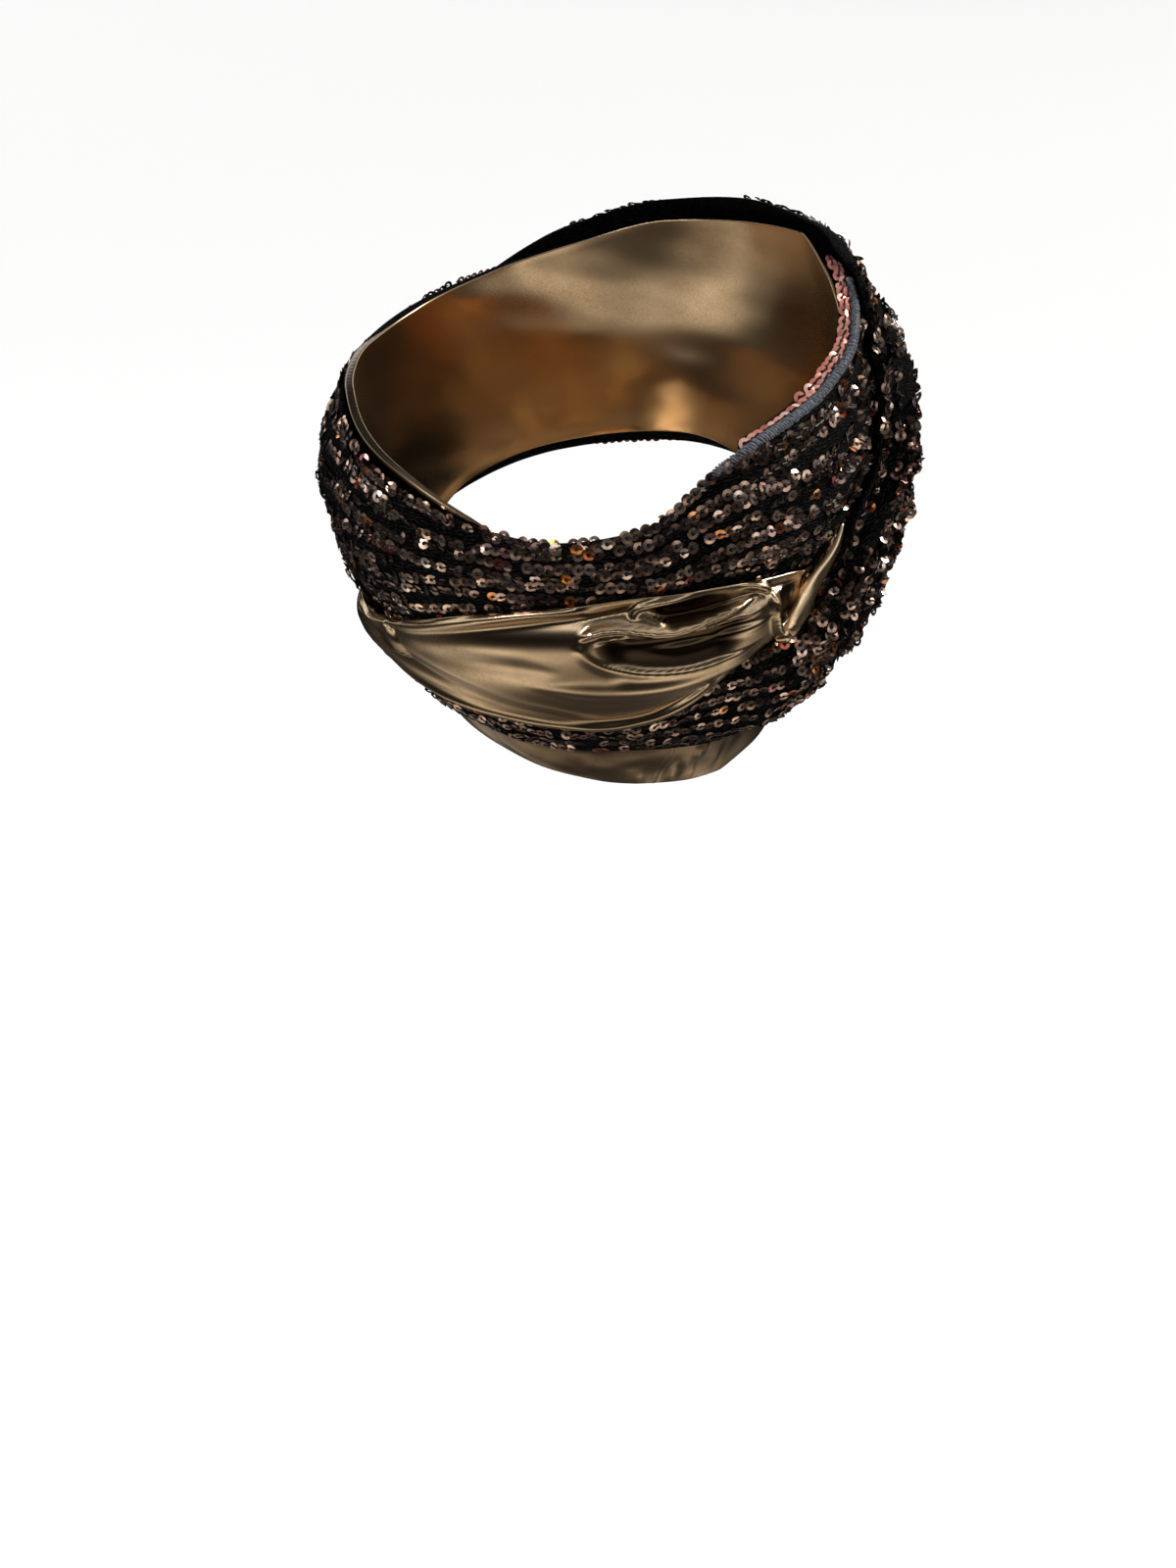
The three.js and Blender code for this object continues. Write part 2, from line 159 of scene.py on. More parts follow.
hollowLevels = [h * (hollow["rise"] if h > 0 else hollow["drop"]) for h in hollow["rows"]["height"]]


def hollowRadius(angle, z):
    wide = rowCurve(hollowLevels, hollow["rows"]["width"])(z) * hollow["width"] / 2
    back = rowCurve(hollowLevels, hollow["rows"]["back"])(z) * hollow["back"]
    front = rowCurve(hollowLevels, hollow["rows"]["front"])(z) * hollow["front"]
    along = np.cos(angle * degree)
    deep = np.where(along > 0, back, front)
    return 1 / np.hypot(np.sin(angle * degree) / wide, along / deep)


radiusAt = hollowRadius(angleAt, heightAt)
arcRadius = 0.094   # the bands' mean radius, which turns angles into lengths of cloth


def placeAt(angle, z, distance):
    radius = hollowRadius(angle, z) + distance
    return np.stack([-radius * np.sin(angle * degree), radius * np.cos(angle * degree), z], axis=-1)


def softMax(a, b, width):
    return 0.5 * (a + b + np.sqrt((a - b) ** 2 + width ** 2))


def crumple(seed, wavelength, stretch=1.0):
    # a smooth random field round the whole ring, about -1 to 1, longer along the bands by stretch
    random = np.random.default_rng(seed)
    x = -arcRadius * np.sin(angleAt * degree) / stretch
    y = arcRadius * np.cos(angleAt * degree) / stretch
    field = np.zeros_like(angleAt)
    waves = 9
    for _ in range(waves):
        way = random.normal(size=3)
        way *= 2 * math.pi / (wavelength * random.uniform(0.7, 1.5) * np.linalg.norm(way))
        field += np.sin(way[0] * x + way[1] * y + way[2] * heightAt + random.uniform(0, 6.28))
    return field / math.sqrt(waves)


def smoothPath(points, steps=5):
    # a smooth line through points of angle and height in millimetres, as lengths of cloth
    p = np.array(points, float) * [degree * arcRadius, mm]
    p = np.vstack([2 * p[0] - p[1], p, 2 * p[-1] - p[-2]])
    line = []
    for i in range(1, len(p) - 2):
        for t in np.arange(steps) / steps:
            line.append(betweenFour(*p[i - 1:i + 3], t))
    return np.array(line + [p[-2]])


def fold(path, rise, above, below=None, ends=(0.25, 0.25), middle=0.0):
    # path of (angle, millimetres), rise in millimetres, widths above and below its line
    return {"path": path, "rise": rise * mm, "above": above * mm, "below": (below or above) * mm,
            "ends": ends, "middle": middle * mm}


def foldField(folds):
    field = np.zeros_like(angleAt)
    for one in folds:
        line = smoothPath(one["path"])
        margin = 3.2 * max(one["above"], one["below"])
        for turn in (-360, 0, 360):
            shift = turn * degree * arcRadius
            across = angleAt * degree * arcRadius + shift
            near = ((across > line[:, 0].min() - margin) & (across < line[:, 0].max() + margin)
                    & (heightAt > line[:, 1].min() - margin) & (heightAt < line[:, 1].max() + margin))
            if not near.any():
                continue
            s, z = across[near], heightAt[near]
            best = np.full(s.shape, 1e9)
            side = np.zeros_like(s)
            share = np.zeros_like(s)
            count = len(line) - 1
            for k in range(count):
                a, b = line[k], line[k + 1]
                d = b - a
                t = np.clip(((s - a[0]) * d[0] + (z - a[1]) * d[1]) / (d @ d), 0, 1)
                ds, dz = s - a[0] - t * d[0], z - a[1] - t * d[1]
                away = np.hypot(ds, dz)
                nearer = away < best
                best[nearer] = away[nearer]
                side[nearer] = (d[0] * dz - d[1] * ds)[nearer]
                share[nearer] = ((k + t) / count)[nearer]
            fade = smoothStep(share / one["ends"][0]) * smoothStep((1 - share) / one["ends"][1])
            taper = 0.35 + 0.65 * fade
            width = np.where(side > 0, one["above"], one["below"]) * taper
            value = np.exp(-(np.maximum(best - one["middle"] * taper, 0) / width) ** 2) * fade
            field[near] += one["rise"] * value
    return field


def clothRelief(folds, crumples):
    # the folds, and crumples of (millimetres, seed, wavelength, stretch)
    field = foldField(folds)
    for size, *crumpled in crumples:
        field = field + size * mm * crumple(*crumpled)
    return field


def sampleColumn(field, column, z):
    # a relief's value at heights z of grid columns, smooth between the grid's rows
    row = np.clip((z - grid["lowest"]) / grid["heightStep"], 1, field.shape[1] - 3)
    i = row.astype(int)
    return betweenFour(*(field[column, i + k] for k in (-1, 0, 1, 2)), row - i)


def outerFace(inner, wall):
    # a wall of even thickness: steeper cloth takes more of the distance outwards
    surface = radiusAt + inner
    up = np.gradient(surface, grid["heightStep"], axis=1)
    padded = np.vstack([surface[-1:], surface, surface[:1]])
    around = np.gradient(padded, grid["angleStep"] * degree * arcRadius, axis=0)[1:-1]
    slope = np.hypot(np.clip(up, -1.6, 1.6), np.clip(around, -1.2, 1.2))
    return inner + wall * np.sqrt(1 + slope ** 2)


def coverOf(layer, play):
    # how far a layer holds out what lies over it: level past its edges, then fading
    bottom, top = layer["bottom"][:, None], layer["top"][:, None]
    inside = np.clip(heightAt, bottom, top)
    away = np.abs(heightAt - inside)
    fade = 1 - smoothStep((away - cloth["shoulder"]) / cloth["tuck"])
    present = layer.get("present", np.ones(len(allColumns)))[:, None]
    return (sampleColumn(layer["outer"], allColumns[:, None], inside) + play) * fade * present


def coverAll(*layers):
    return np.max([coverOf(layer, cloth["layerPlay"]) for layer in layers], axis=0)


def clothLayer(bottom, top, inner, wall):
    return {"bottom": bottom, "top": top, "inner": inner, "outer": outerFace(inner, wall), "wall": wall}


def makeLayer(bottom, top, base, reach, relief, wall, soften=0.7 * mm, power=3, rim=4 * mm, ridges=0):
    # a cloth that lies on its base or stands off it by its reach and relief; ridges lie on top
    across = np.clip((heightAt - bottom[:, None]) / (top - bottom)[:, None], 0, 1)
    rounding = 1 - np.abs(2 * across - 1) ** power
    fromEdge = np.minimum(heightAt - bottom[:, None], top[:, None] - heightAt)
    wanted = reach[:, None] * rounding + relief * smoothStep(fromEdge / rim)
    inner = softMax(base, wanted, soften) + ridges * smoothStep(fromEdge / (0.6 * rim) + 0.15)
    return clothLayer(bottom, top, inner, wall)


print("stage 1: reliefs")

hem, inner, under, over, low, high = (
    bandHeight(ringColumn(edgeRows, name)) for name in ("hem", "inner", "under", "over", "low", "high"))
bulge = cloth["sideBulge"]

# The gold lining: pulled pleats at the nape's seam and a rolled hem along its inner edge
liningStyle = {
    "hemRoll": 2.1 * mm,
    "rollFrom": -100, "rollTo": -4,
    "napeFolds": [
        fold([(-30, -78), (0, -84), (30, -84), (50, -83), (72, -80)], 1.5, 2.5, 7.0, (0.2, 0.1)),
        fold([(54, -79), (50, -85), (45, -90.5), (38, -96.5)], 1.4, 1.3, 2.0),
        fold([(41.4, -78), (40, -84), (38.4, -91), (36.8, -99)], 1.0, 0.9, 0.5, (0.1, 0.05)),
        fold([(8, -84), (18, -88), (28, -92), (36, -97)], 1.2, 1.8, 2.4),
        fold([(-24, -78), (-6, -86), (12, -90.5), (26, -96)], 1.3, 1.8, 2.6),
        fold([(66, -86), (56, -90), (48, -94), (40, -97.5)], 1.2, 1.2, 1.8),
        fold([(-34, -72), (-20, -80), (-6, -85)], -0.6, 1.8),
    ],
}
hemReach = ringColumn(reachRows, "hem") * bulge
liningBase = cloth["liningPlay"] + hemReach[:, None] * smoothStep(-heightAt / cloth["napeDrop"])
liningRelief = foldField(liningStyle["napeFolds"]) + 0.25 * mm * (1 + crumple(3, 0.030, 1.6)) \
    + 0.16 * mm * (1 + crumple(4, 0.014, 2.2))
liningInner = softMax(liningBase + liningRelief * smoothStep((heightAt - hem[:, None] + 0.002) / 0.006),
                      liningBase, 0.2 * mm)
lining = clothLayer(hem, inner, liningInner, cloth["liningWall"])

# The hem roll: a round edge on the lining, thicker than its cloth
rollSize = liningStyle["hemRoll"] * fadeBetween(liningStyle["rollFrom"], liningStyle["rollTo"] + 6, 30, 8) \
    * (0.35 + 0.65 * smoothStep((liningStyle["rollTo"] - gridAngles) / 30))
rollSize = rollSize[:, None]
rollOff = (inner[:, None] - heightAt - rollSize) / np.maximum(rollSize, 1e-6)
rollShape = np.sqrt(np.clip(1 - rollOff ** 2, 0, 1))
lining["outer"] = np.maximum(lining["outer"], lining["inner"] + 2 * rollSize * rollShape)

# The facing: the upper band's own cloth, turned in inside its edge
facingSpan = (44, 110)
facingStyle = {"depth": 7 * mm, "stand": 2.2 * mm}
facingBase = np.maximum(coverOf(lining, cloth["sewnPlay"]), cloth["liningPlay"])
facing = clothLayer(high - facingStyle["depth"], high + facingStyle["stand"], facingBase,
                    cloth["facingWall"])
facingShare = fadeBetween(facingSpan[0] - 12, facingSpan[1] + 12, 12, 12)

# The upper sequin band
upperFolds = [
    fold([(-62, 12), (-38, 3), (-21, 3), (-12, -1), (-4, -5), (0, -7), (7, -9), (15, -11), (24, -13)],
         -1.8, 0.9, 2.6, (0.1, 0.2)),
    fold([(-62, 16), (-38, 7), (-21, 6.5), (-12, 3), (-4, -1.5), (7, -5), (18, -7.5)], 1.1, 2.6, 1.7,
         (0.1, 0.2)),
    fold([(-110, 4), (-80, -4), (-55, -12), (-38, -20), (-20, -22)], -1.4, 2.4),
    fold([(-100, 16), (-75, 8), (-50, -2), (-30, -10), (-10, -14)], 0.9, 3.0),
    fold([(22, -6), (36, -4), (50, 2), (64, 9), (76, 16), (88, 28), (100, 42)], -1.5, 1.5, 2.2,
         (0.3, 0.1)),
    fold([(30, 2), (44, 8), (58, 15), (70, 22), (82, 31), (94, 40)], 1.0, 2.4),
    fold([(30, -12), (46, -12), (57, -9), (66, -4), (74, 4), (82, 14)], -1.6, 1.6, 2.2),
    fold([(-180, 30), (-150, 26), (-120, 20), (-90, 16)], -1.2, 2.4),
]
upperReach = ringColumn(reachRows, "upper") * bulge
upperBase = (cloth["liningPlay"] + 1.6 * cloth["liningWall"] + cloth["layerPlay"]
             + facingShare * 2 * cloth["facingWall"])[:, None] + 0 * heightAt
upperRelief = clothRelief(upperFolds, [(0.45, 11, 0.013, 1.7), (0.5, 12, 0.030, 1.8)])
upper = makeLayer(low, high, upperBase, upperReach, upperRelief, cloth["sequinWall"])

edgeStyle = {"width": 3.2 * mm, "thickness": 2.4 * mm, "span": (34, 106)}
highRow = sampleColumn(upper["inner"], allColumns, high)
edgeBottom = high + cloth["layerPlay"] / 2
overlock = {"bottom": edgeBottom, "top": edgeBottom + edgeStyle["width"],
            "outer": highRow[:, None] + edgeStyle["thickness"] + 0 * heightAt,
            "present": fadeBetween(*edgeStyle["span"], 4, 4)}

# The lower sequin band, gathered over the wearer's right
lowerFolds = [
    fold([(84, -4), (89, 2), (93, 12), (97, 24), (103, 38), (112, 50)], -6.5, 2.4, 3.0, (0.15, 0.25)),
    fold([(78, -30), (84, -18), (90, -8), (97, 4), (105, 16), (118, 28), (140, 36)], -3.8, 1.8, 2.3),
    fold([(66, -48), (76, -38), (86, -26), (96, -12), (108, 2), (125, 14), (150, 22), (185, 26)], -3.2,
         1.6, 2.4),
    fold([(62, -60), (76, -50), (90, -36), (104, -20), (122, -6), (150, 6), (190, 12), (225, 16)], -2.2,
         1.7, 2.2),
    fold([(72, -62), (88, -50), (104, -34), (122, -20), (150, -8), (200, -3)], -1.8, 1.7, 2.4),
    fold([(72, -26), (79, -12), (86, 4), (91, 20), (97, 36), (104, 48)], 2.2, 2.2),
    fold([(120, 60), (145, 58), (175, 56), (205, 50), (232, 38), (252, 22)], -2.4, 2.6),
    fold([(130, 44), (160, 42), (190, 40), (220, 30), (246, 12), (262, -2)], -2.2, 2.4),
    fold([(195, 10), (225, 4), (248, -8), (268, -18), (282, -30)], -1.8, 2.2),
]
lowerReach = ringColumn(reachRows, "lower") * bulge
underLower = np.maximum(coverAll(lining, upper, overlock), 2 * cloth["liningWall"])
gatherShare = smoothStep((gridAngles % 360 - 60) / 14) * smoothStep((150 - gridAngles % 360) / 30)
lowerRelief = clothRelief(lowerFolds, [(0.45, 21, 0.014, 2.0), (0.6, 22, 0.034, 2.2)])
lowerRelief += gatherShare[:, None] * 0.9 * mm * crumple(23, 0.009, 1.3)
lower = makeLayer(under, over, underLower, lowerReach, lowerRelief, cloth["sequinWall"])

# The leaf: the lining turned out over the back, between the two sequin bands
leafRows = {
    "angle": (-72, -62, -50, -34, -20, -5, 12, 28, 42, 51, 57, 61),
    "bottom": (-0.50, -0.53, -0.55, -0.58, -0.62, -0.65, -0.66, -0.63, -0.52, -0.44, -0.385, -0.34),
    "top": (-0.45, -0.41, -0.39, -0.38, -0.31, -0.23, -0.17, -0.14, -0.14, -0.145, -0.15, -0.16),
    "reach": (0.10, 0.66, 0.66, 0.52, 0.46, 0.48, 0.55, 0.63, 0.67, 0.66, 0.58, 0.40),
}
leafRidges = [
    # the rolled upper edge, left of the pockets, and the rolled lower edge
    fold([(-56, -40), (-44, -39.2), (-30, -37), (-20, -32.8), (-12.6, -28.6), (-0.9, -22.2),
         (9.7, -18.2), (20, -16.6)], 1.5, 0.8, 2.0, (0.1, 0.2)),
    fold([(-60, -50.4), (-40, -53), (-20, -58.6), (0, -62), (16, -62.4), (30, -58.6), (42, -48.8),
         (50, -42)], 0.8, 1.3, 0.9, (0.1, 0.1)),
    # the upper pocket's rim, bent round its closed left end
    fold([(25.2, -21), (23.6, -19), (25, -16.6), (29, -15.4), (34, -15), (40, -15.1)], 1.7, 0.8, 1.0,
         (0.25, 0.5)),
    # the long ridge under it, hooked at its left end
    fold([(14.8, -27.4), (15.6, -25), (18, -23.2), (21.4, -22.6), (24.6, -23.2), (27.6, -24.2),
         (30.4, -24.4), (34.2, -23.2), (39, -21.2), (44.7, -19.4), (49, -18)], 2.4, 1.0, 0.8,
         (0.18, 0.2)),
    # the lower lip of the big fold
    fold([(15, -26.6), (15.4, -30), (17, -33), (20.4, -36), (25.9, -38.4), (32.9, -39.2), (39.2, -38),
         (46, -35), (52, -31)], 0.9, 0.6, 1.8, (0.1, 0.2)),
    fold([(25, -31.4), (32, -32), (39, -30.6), (46, -27.6), (52, -24.4)], 0.7, 1.0, 1.4, (0.3, 0.2)),
    fold([(38, -26), (43, -24.2), (49, -21.8)], 0.8, 0.8, 1.0, (0.4, 0.3)),
    # the lip at the right end, which runs down to the roll's foot
    fold([(42, -14.9), (46.6, -14.9), (49.6, -17), (50.9, -21), (51.8, -26), (53.4, -30.6), (56, -33.8),
         (58.6, -34.8)], 2.4, 1.0, 1.1, (0.3, 0.1)),
]
leafDips = [
    fold([(26, -19.2), (32, -18.8), (38, -18), (46, -17.4)], -6.5, 1.8, 2.0, (0.25, 0.4), 1.2),
    # the big fold: deep under the ridge, rising to its lower lip
    fold([(16.6, -27.6), (20, -27.4), (25, -27.8), (30, -28), (36, -27), (42, -25), (49, -22.6)], -6.2,
         1.0, 7.6, (0.3, 0.25), 0.6),
    # the pocket between the lip and the roll
    fold([(55.4, -18), (55.8, -22), (56.6, -26), (58, -30)], -7.0, 2.2, 2.4, (0.1, 0.1), 1.0),
    # broad waves of the smooth part
    fold([(-48, -46), (-30, -47), (-14, -51), (4, -56), (20, -57)], -1.6, 3.4, 2.6),
    fold([(-34, -42), (-14, -40), (0, -38), (12, -38)], -1.0, 3.6, 4.4),
    fold([(2, -44), (18, -45), (32, -44), (44, -40), (52, -36)], 1.2, 2.8, 2.6),
]
leafBottom = bandHeight(ringColumn(leafRows, "bottom", None))
leafTop = bandHeight(ringColumn(leafRows, "top", None))
leafReach = ringColumn(leafRows, "reach", None) * bulge
underLeaf = coverAll(lining, upper, lower)
leafRelief = clothRelief(leafDips, [(0.18, 31, 0.030, 1.5)])
leaf = makeLayer(leafBottom, leafTop, underLeaf, leafReach, leafRelief, cloth["liningWall"], 0.8 * mm, 4,
                 1.6 * mm, foldField(leafRidges))
leafSpan = (-72, 61)
leaf["present"] = ((gridAngles >= leafSpan[0]) & (gridAngles <= leafSpan[1])) * 1.0


def bandPlaces(layer, columns, rows, rim):
    # for each angle, the places up the outer face and those up the inner one, with round rims
    bottom, top = layer["bottom"][columns], layer["top"][columns]
    turns = np.linspace(0, 1, rim + 1)[:-1]
    edge = np.minimum(layer["wall"] * 0.55, (top - bottom) * 0.2)
    lowRows = edge[:, None] * (1 - np.cos(turns * math.pi / 2))
    inset = bottom + edge, top - edge
    middle = inset[0][:, None] + (inset[1] - inset[0])[:, None] * np.linspace(0, 1, rows + 1)
    z = np.hstack([bottom[:, None] + lowRows, middle, (top[:, None] - lowRows)[:, ::-1]])
    share = np.hstack([np.sin(turns * math.pi / 2), np.ones(rows + 1), np.sin(turns * math.pi / 2)[::-1]])
    outer, inside = (sampleColumn(layer[face], columns[:, None], z) for face in ("outer", "inner"))
    centre, half = (outer + inside) / 2, (outer - inside) / 2
    return [placeAt(gridAngles[columns][:, None], z, centre + side * half * share) for side in (1, -1)]


def addObject(name, data):
    thing = bpy.data.objects.new(name, data)
    bpy.context.scene.collection.objects.link(thing)
    return thing


def writeAttribute(mesh, name, values, kind="FLOAT", field="value"):
    mesh.attributes.new(name, kind, "POINT").data.foreach_set(field, np.array(values, float).ravel())


def addBody(name, places, faces, uvs):
    # a smooth closed body, its faces turned outwards, with its cloth's own map
    mesh = bpy.data.meshes.new(name)
    mesh.from_pydata(places, [], faces)
    mesh.uv_layers.new(name="cloth").data.foreach_set("uv", np.array(uvs, float).ravel())
    mesh.polygons.foreach_set("use_smooth", [True] * len(mesh.polygons))
    co = np.array(places, float)
    mesh.calc_loop_triangles()
    corners = np.zeros(len(mesh.loop_triangles) * 3, int)
    mesh.loop_triangles.foreach_get("vertices", corners)
    a, b, c = (co[corners.reshape(-1, 3)[:, k]] for k in range(3))
    if np.einsum("ij,ij->i", a, np.cross(b, c)).sum() < 0:
        mesh.flip_normals()
    mesh.update()
    return addObject(name, mesh)


def bandMesh(name, layer, columns, rows, closed, rim=4, painted_shading=None):
    # a closed body between a layer's two faces, mapped by lengths of cloth along and across it
    outside, within = bandPlaces(layer, columns, rows, rim)
    count, tall = outside.shape[:2]
    loop = np.concatenate([outside, within[:, 1:-1][:, ::-1]], axis=1)
    size = loop.shape[1]
    rise = np.linalg.norm(np.diff(outside, axis=1), axis=2)
    v = np.concatenate([np.zeros((count, 1)), np.cumsum(rise, axis=1)], axis=1)
    v -= v[:, tall // 2][:, None]
    v = np.concatenate([v, v[:, 1:-1][:, ::-1]], axis=1)
    mid = outside[:, tall // 2]
    run = np.linalg.norm(np.diff(np.vstack([mid, mid[:1]]), axis=0), axis=1)
    u = np.concatenate([[0], np.cumsum(run)])
    faces, uvs = [], []
    for i in range(count if closed else count - 1):
        n = (i + 1) % count
        for j in range(size):
            k = (j + 1) % size
            faces.append((i * size + j, n * size + j, n * size + k, i * size + k))
            uvs += [(u[i], v[i, j]), (u[i + 1], v[n, j]), (u[i + 1], v[n, k]), (u[i], v[i, k])]
    if not closed:
        for i, flip in ((0, False), (count - 1, True)):
            for j in range(tall - 1):
                a, b = i * size + j, i * size + j + 1
                c = i * size + (size - j - 1)
                d = i * size + (size - j) % size
                ring = [a, b, c] if j == 0 else [a, b, c, d] if j < tall - 2 else [a, b, d]
                ring = ring[::-1] if flip else ring
                faces.append(ring)
                uvs += [(u[i], v[i, p % size]) for p in ring]
    piece = addBody(name, loop.reshape(-1, 3).tolist(), faces, uvs)
    if painted_shading is not None:
        # painted shade, deep in a fold and below the lower band; under 0 painted highlight on a raised place
        value = sampleColumn(painted_shading, columns[:, None], loop[..., 2])
        value[:, tall:] = 0
        writeAttribute(piece.data, "painted_shading", value)
    return piece


def setNode(tree, node, values):
    # small letters name the node's settings, all else its inputs; a node stands for its first output
    for key, value in values.items():
        if isinstance(value, bpy.types.Node):
            value = value.outputs[0]
        if str(key).islower():
            setattr(node, key, value)
        elif isinstance(value, bpy.types.NodeSocket):
            tree.links.new(value, node.inputs[key])
        else:
            node.inputs[key].default_value = value
    return node


def shaderNode(tree, kind, values):
    return setNode(tree, tree.nodes.new("ShaderNode" + kind), values)


def geoNode(tree, kind, values):
    return setNode(tree, tree.nodes.new("GeometryNode" + kind), values)


def turnNode(tree, kind, values):
    return setNode(tree, tree.nodes.new("FunctionNode" + kind), values)


def mathNode(tree, operation, a, b=0.0, c=0.0):
    return shaderNode(tree, "Math", {"operation": operation, 0: a, 1: b, 2: c})


def noiseNode(tree, place, scale, detail):
    return shaderNode(tree, "TexNoise", {"Vector": place, "Scale": scale, "Detail": detail})


def addRamp(tree, factor, stops):
    ramp = shaderNode(tree, "ValToRGB", {"Fac": factor})
    while len(ramp.color_ramp.elements) < len(stops):
        ramp.color_ramp.elements.new(0.5)
    for element, (place, colour) in zip(ramp.color_ramp.elements, stops):
        element.position = place
        element.color = (*colour, 1)
    return ramp


def mapRange(tree, value, fromRange, toRange):
    return shaderNode(tree, "MapRange", {"Value": value, "From Min": fromRange[0], "From Max": fromRange[1],
                                         "To Min": toRange[0], "To Max": toRange[1]})


def stripes(tree, place, direction, pitch, values):
    # waves of one pitch over a cloth's map
    return shaderNode(tree, "TexWave", {
        "wave_type": "BANDS", "bands_direction": direction, "Vector": place,
        "Scale": math.pi / (10 * pitch), **values}).outputs["Fac"]


def bumpNode(tree, height, strength, depth, **more):
    return shaderNode(tree, "Bump", {"Height": height, "Strength": strength, "Distance": depth, **more})


def makeMaterial(name, settings):
    material = bpy.data.materials.new(name)
    material.use_nodes = True
    tree = material.node_tree
    return material, tree, setNode(tree, tree.nodes["Principled BSDF"], settings)


def goldMaterial():
    # the deep colour is the painted shade that folds and the lining below the band are mixed towards
    look = {"ribPitch": 0.45 * mm, "ribAngle": 52, "ribDepth": 0.024 * mm, "crease": 0.012 * mm,
            "blotchScale": 38.0, "grainScale": 1400.0, "deep": (0.05, 0.031, 0.017, 1)}
    material, tree, shader = makeMaterial("gold_lame", {"Metallic": 1.0, "Roughness": 0.27,
                                                        "Anisotropic": 0.35})
    uv = shaderNode(tree, "UVMap", {"uv_map": "cloth"})
    turned = shaderNode(tree, "Mapping", {"Vector": uv, "Rotation": (0, 0, look["ribAngle"] * degree)})
    ribs = stripes(tree, turned, "X", look["ribPitch"], {"Distortion": 0.0})
    place = shaderNode(tree, "TexCoord", {}).outputs["Object"]
    grain = noiseNode(tree, place, look["grainScale"], 2.0)
    tone = mathNode(tree, "MULTIPLY_ADD", grain, 0.35)
    tone = mathNode(tree, "MULTIPLY_ADD", noiseNode(tree, place, look["blotchScale"], 4.0), 0.65, tone)
    colour = addRamp(tree, tone, [
        (0.30, (0.42, 0.30, 0.17)), (0.50, (0.56, 0.41, 0.255)), (0.70, (0.66, 0.50, 0.33))])
    # painted shade pulls the colour towards the deep one; below 0 it is painted highlight, lighter than the
    # gold
    painted_shading = shaderNode(tree, "Attribute", {"attribute_name": "painted_shading"}).outputs["Fac"]
    deep = shaderNode(tree, "Mix", {"data_type": "RGBA", "clamp_factor": False,
                                    0: painted_shading, 6: colour, 7: look["deep"]})
    fine = bumpNode(tree, ribs, 0.35, look["ribDepth"])
    soft = bumpNode(tree, grain, 0.3, look["crease"], Normal=fine)
    setNode(tree, shader, {"Base Color": deep.outputs[2], "Normal": soft,
                           "Roughness": mapRange(tree, tone, (0.3, 0.7), (0.27, 0.18))})
    return material


def knitMaterial():
    look = {"stitchPitch": 1.1 * mm, "yarnScale": 900.0, "wobbleScale": 420.0, "depth": 0.5 * mm}
    material, tree, shader = makeMaterial("black_knit", {"Roughness": 0.8, "Specular IOR Level": 0.03})
    uv = shaderNode(tree, "UVMap", {"uv_map": "cloth"}).outputs["UV"]
    rows = stripes(tree, uv, "Y", look["stitchPitch"], {"Distortion": 6.0, "Detail": 2.0,
                                                        "Detail Scale": 2.0})
    loops = shaderNode(tree, "TexVoronoi", {"feature": "F1", "Vector": uv, "Scale": look["yarnScale"]})
    height = mathNode(tree, "MULTIPLY_ADD", loops, -0.8, rows)
    height = mathNode(tree, "MULTIPLY_ADD", noiseNode(tree, uv, look["wobbleScale"], 3.0), 0.7, height)
    colour = addRamp(tree, height, [
        (0.35, (0.001, 0.001, 0.001)), (0.75, (0.003, 0.003, 0.003)), (1.0, (0.014, 0.013, 0.014))])
    setNode(tree, shader, {"Base Color": colour, "Normal": bumpNode(tree, height, 0.9, look["depth"])})
    return material


def sequinMaterial(name, stops, roughness, metallic):
    material, tree, shader = makeMaterial(name, {"Metallic": metallic, "Roughness": roughness,
                                                 "Specular IOR Level": 0.6})
    tone = shaderNode(tree, "Attribute", {"attribute_name": "tone"}).outputs["Fac"]
    setNode(tree, shader, {"Base Color": addRamp(tree, tone, stops)})
    return material


def threadMaterial(name, stops):
    material, tree, shader = makeMaterial(name, {"Roughness": 0.55, "Specular IOR Level": 0.35})
    noise = noiseNode(tree, shaderNode(tree, "TexCoord", {}).outputs["Object"], 1100.0, 3.0)
    setNode(tree, shader, {"Base Color": addRamp(tree, noise, stops),
                           "Normal": bumpNode(tree, noise, 0.6, 0.1 * mm)})
    return material


gold = goldMaterial()
knit = knitMaterial()
thread = threadMaterial("overlock_thread", [(0.3, (0.022, 0.025, 0.031)), (0.7, (0.16, 0.175, 0.205))])
yarn = threadMaterial("sequin_yarn", [(0.3, (0.002, 0.002, 0.002)), (0.7, (0.014, 0.013, 0.014))])
bronze = sequinMaterial("bronze_sequin", [
    (0.00, (0.05, 0.032, 0.027)), (0.35, (0.16, 0.10, 0.075)), (0.62, (0.42, 0.27, 0.20)),
    (0.82, (0.80, 0.56, 0.43)), (0.88, (0.85, 0.62, 0.48)), (0.91, (0.85, 0.30, 0.06)),
    (0.94, (0.40, 0.07, 0.07)), (1.00, (1.00, 0.92, 0.80))], 0.20, 0.95)
coral = sequinMaterial("coral_sequin", [
    (0.00, (0.62, 0.20, 0.15)), (0.50, (0.85, 0.36, 0.28)), (1.00, (0.98, 0.62, 0.50))], 0.35, 0.45)


def finishPiece(piece, nodes=(), material=None):
    if material is not None:
        piece.data.materials.clear()
        piece.data.materials.append(material)
    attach(piece, "root")
    if nodes:
        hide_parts(*nodes)


print("stage 2: cloth")


def columnSpan(start, end):
    return np.flatnonzero((gridAngles >= start) & (gridAngles <= end))
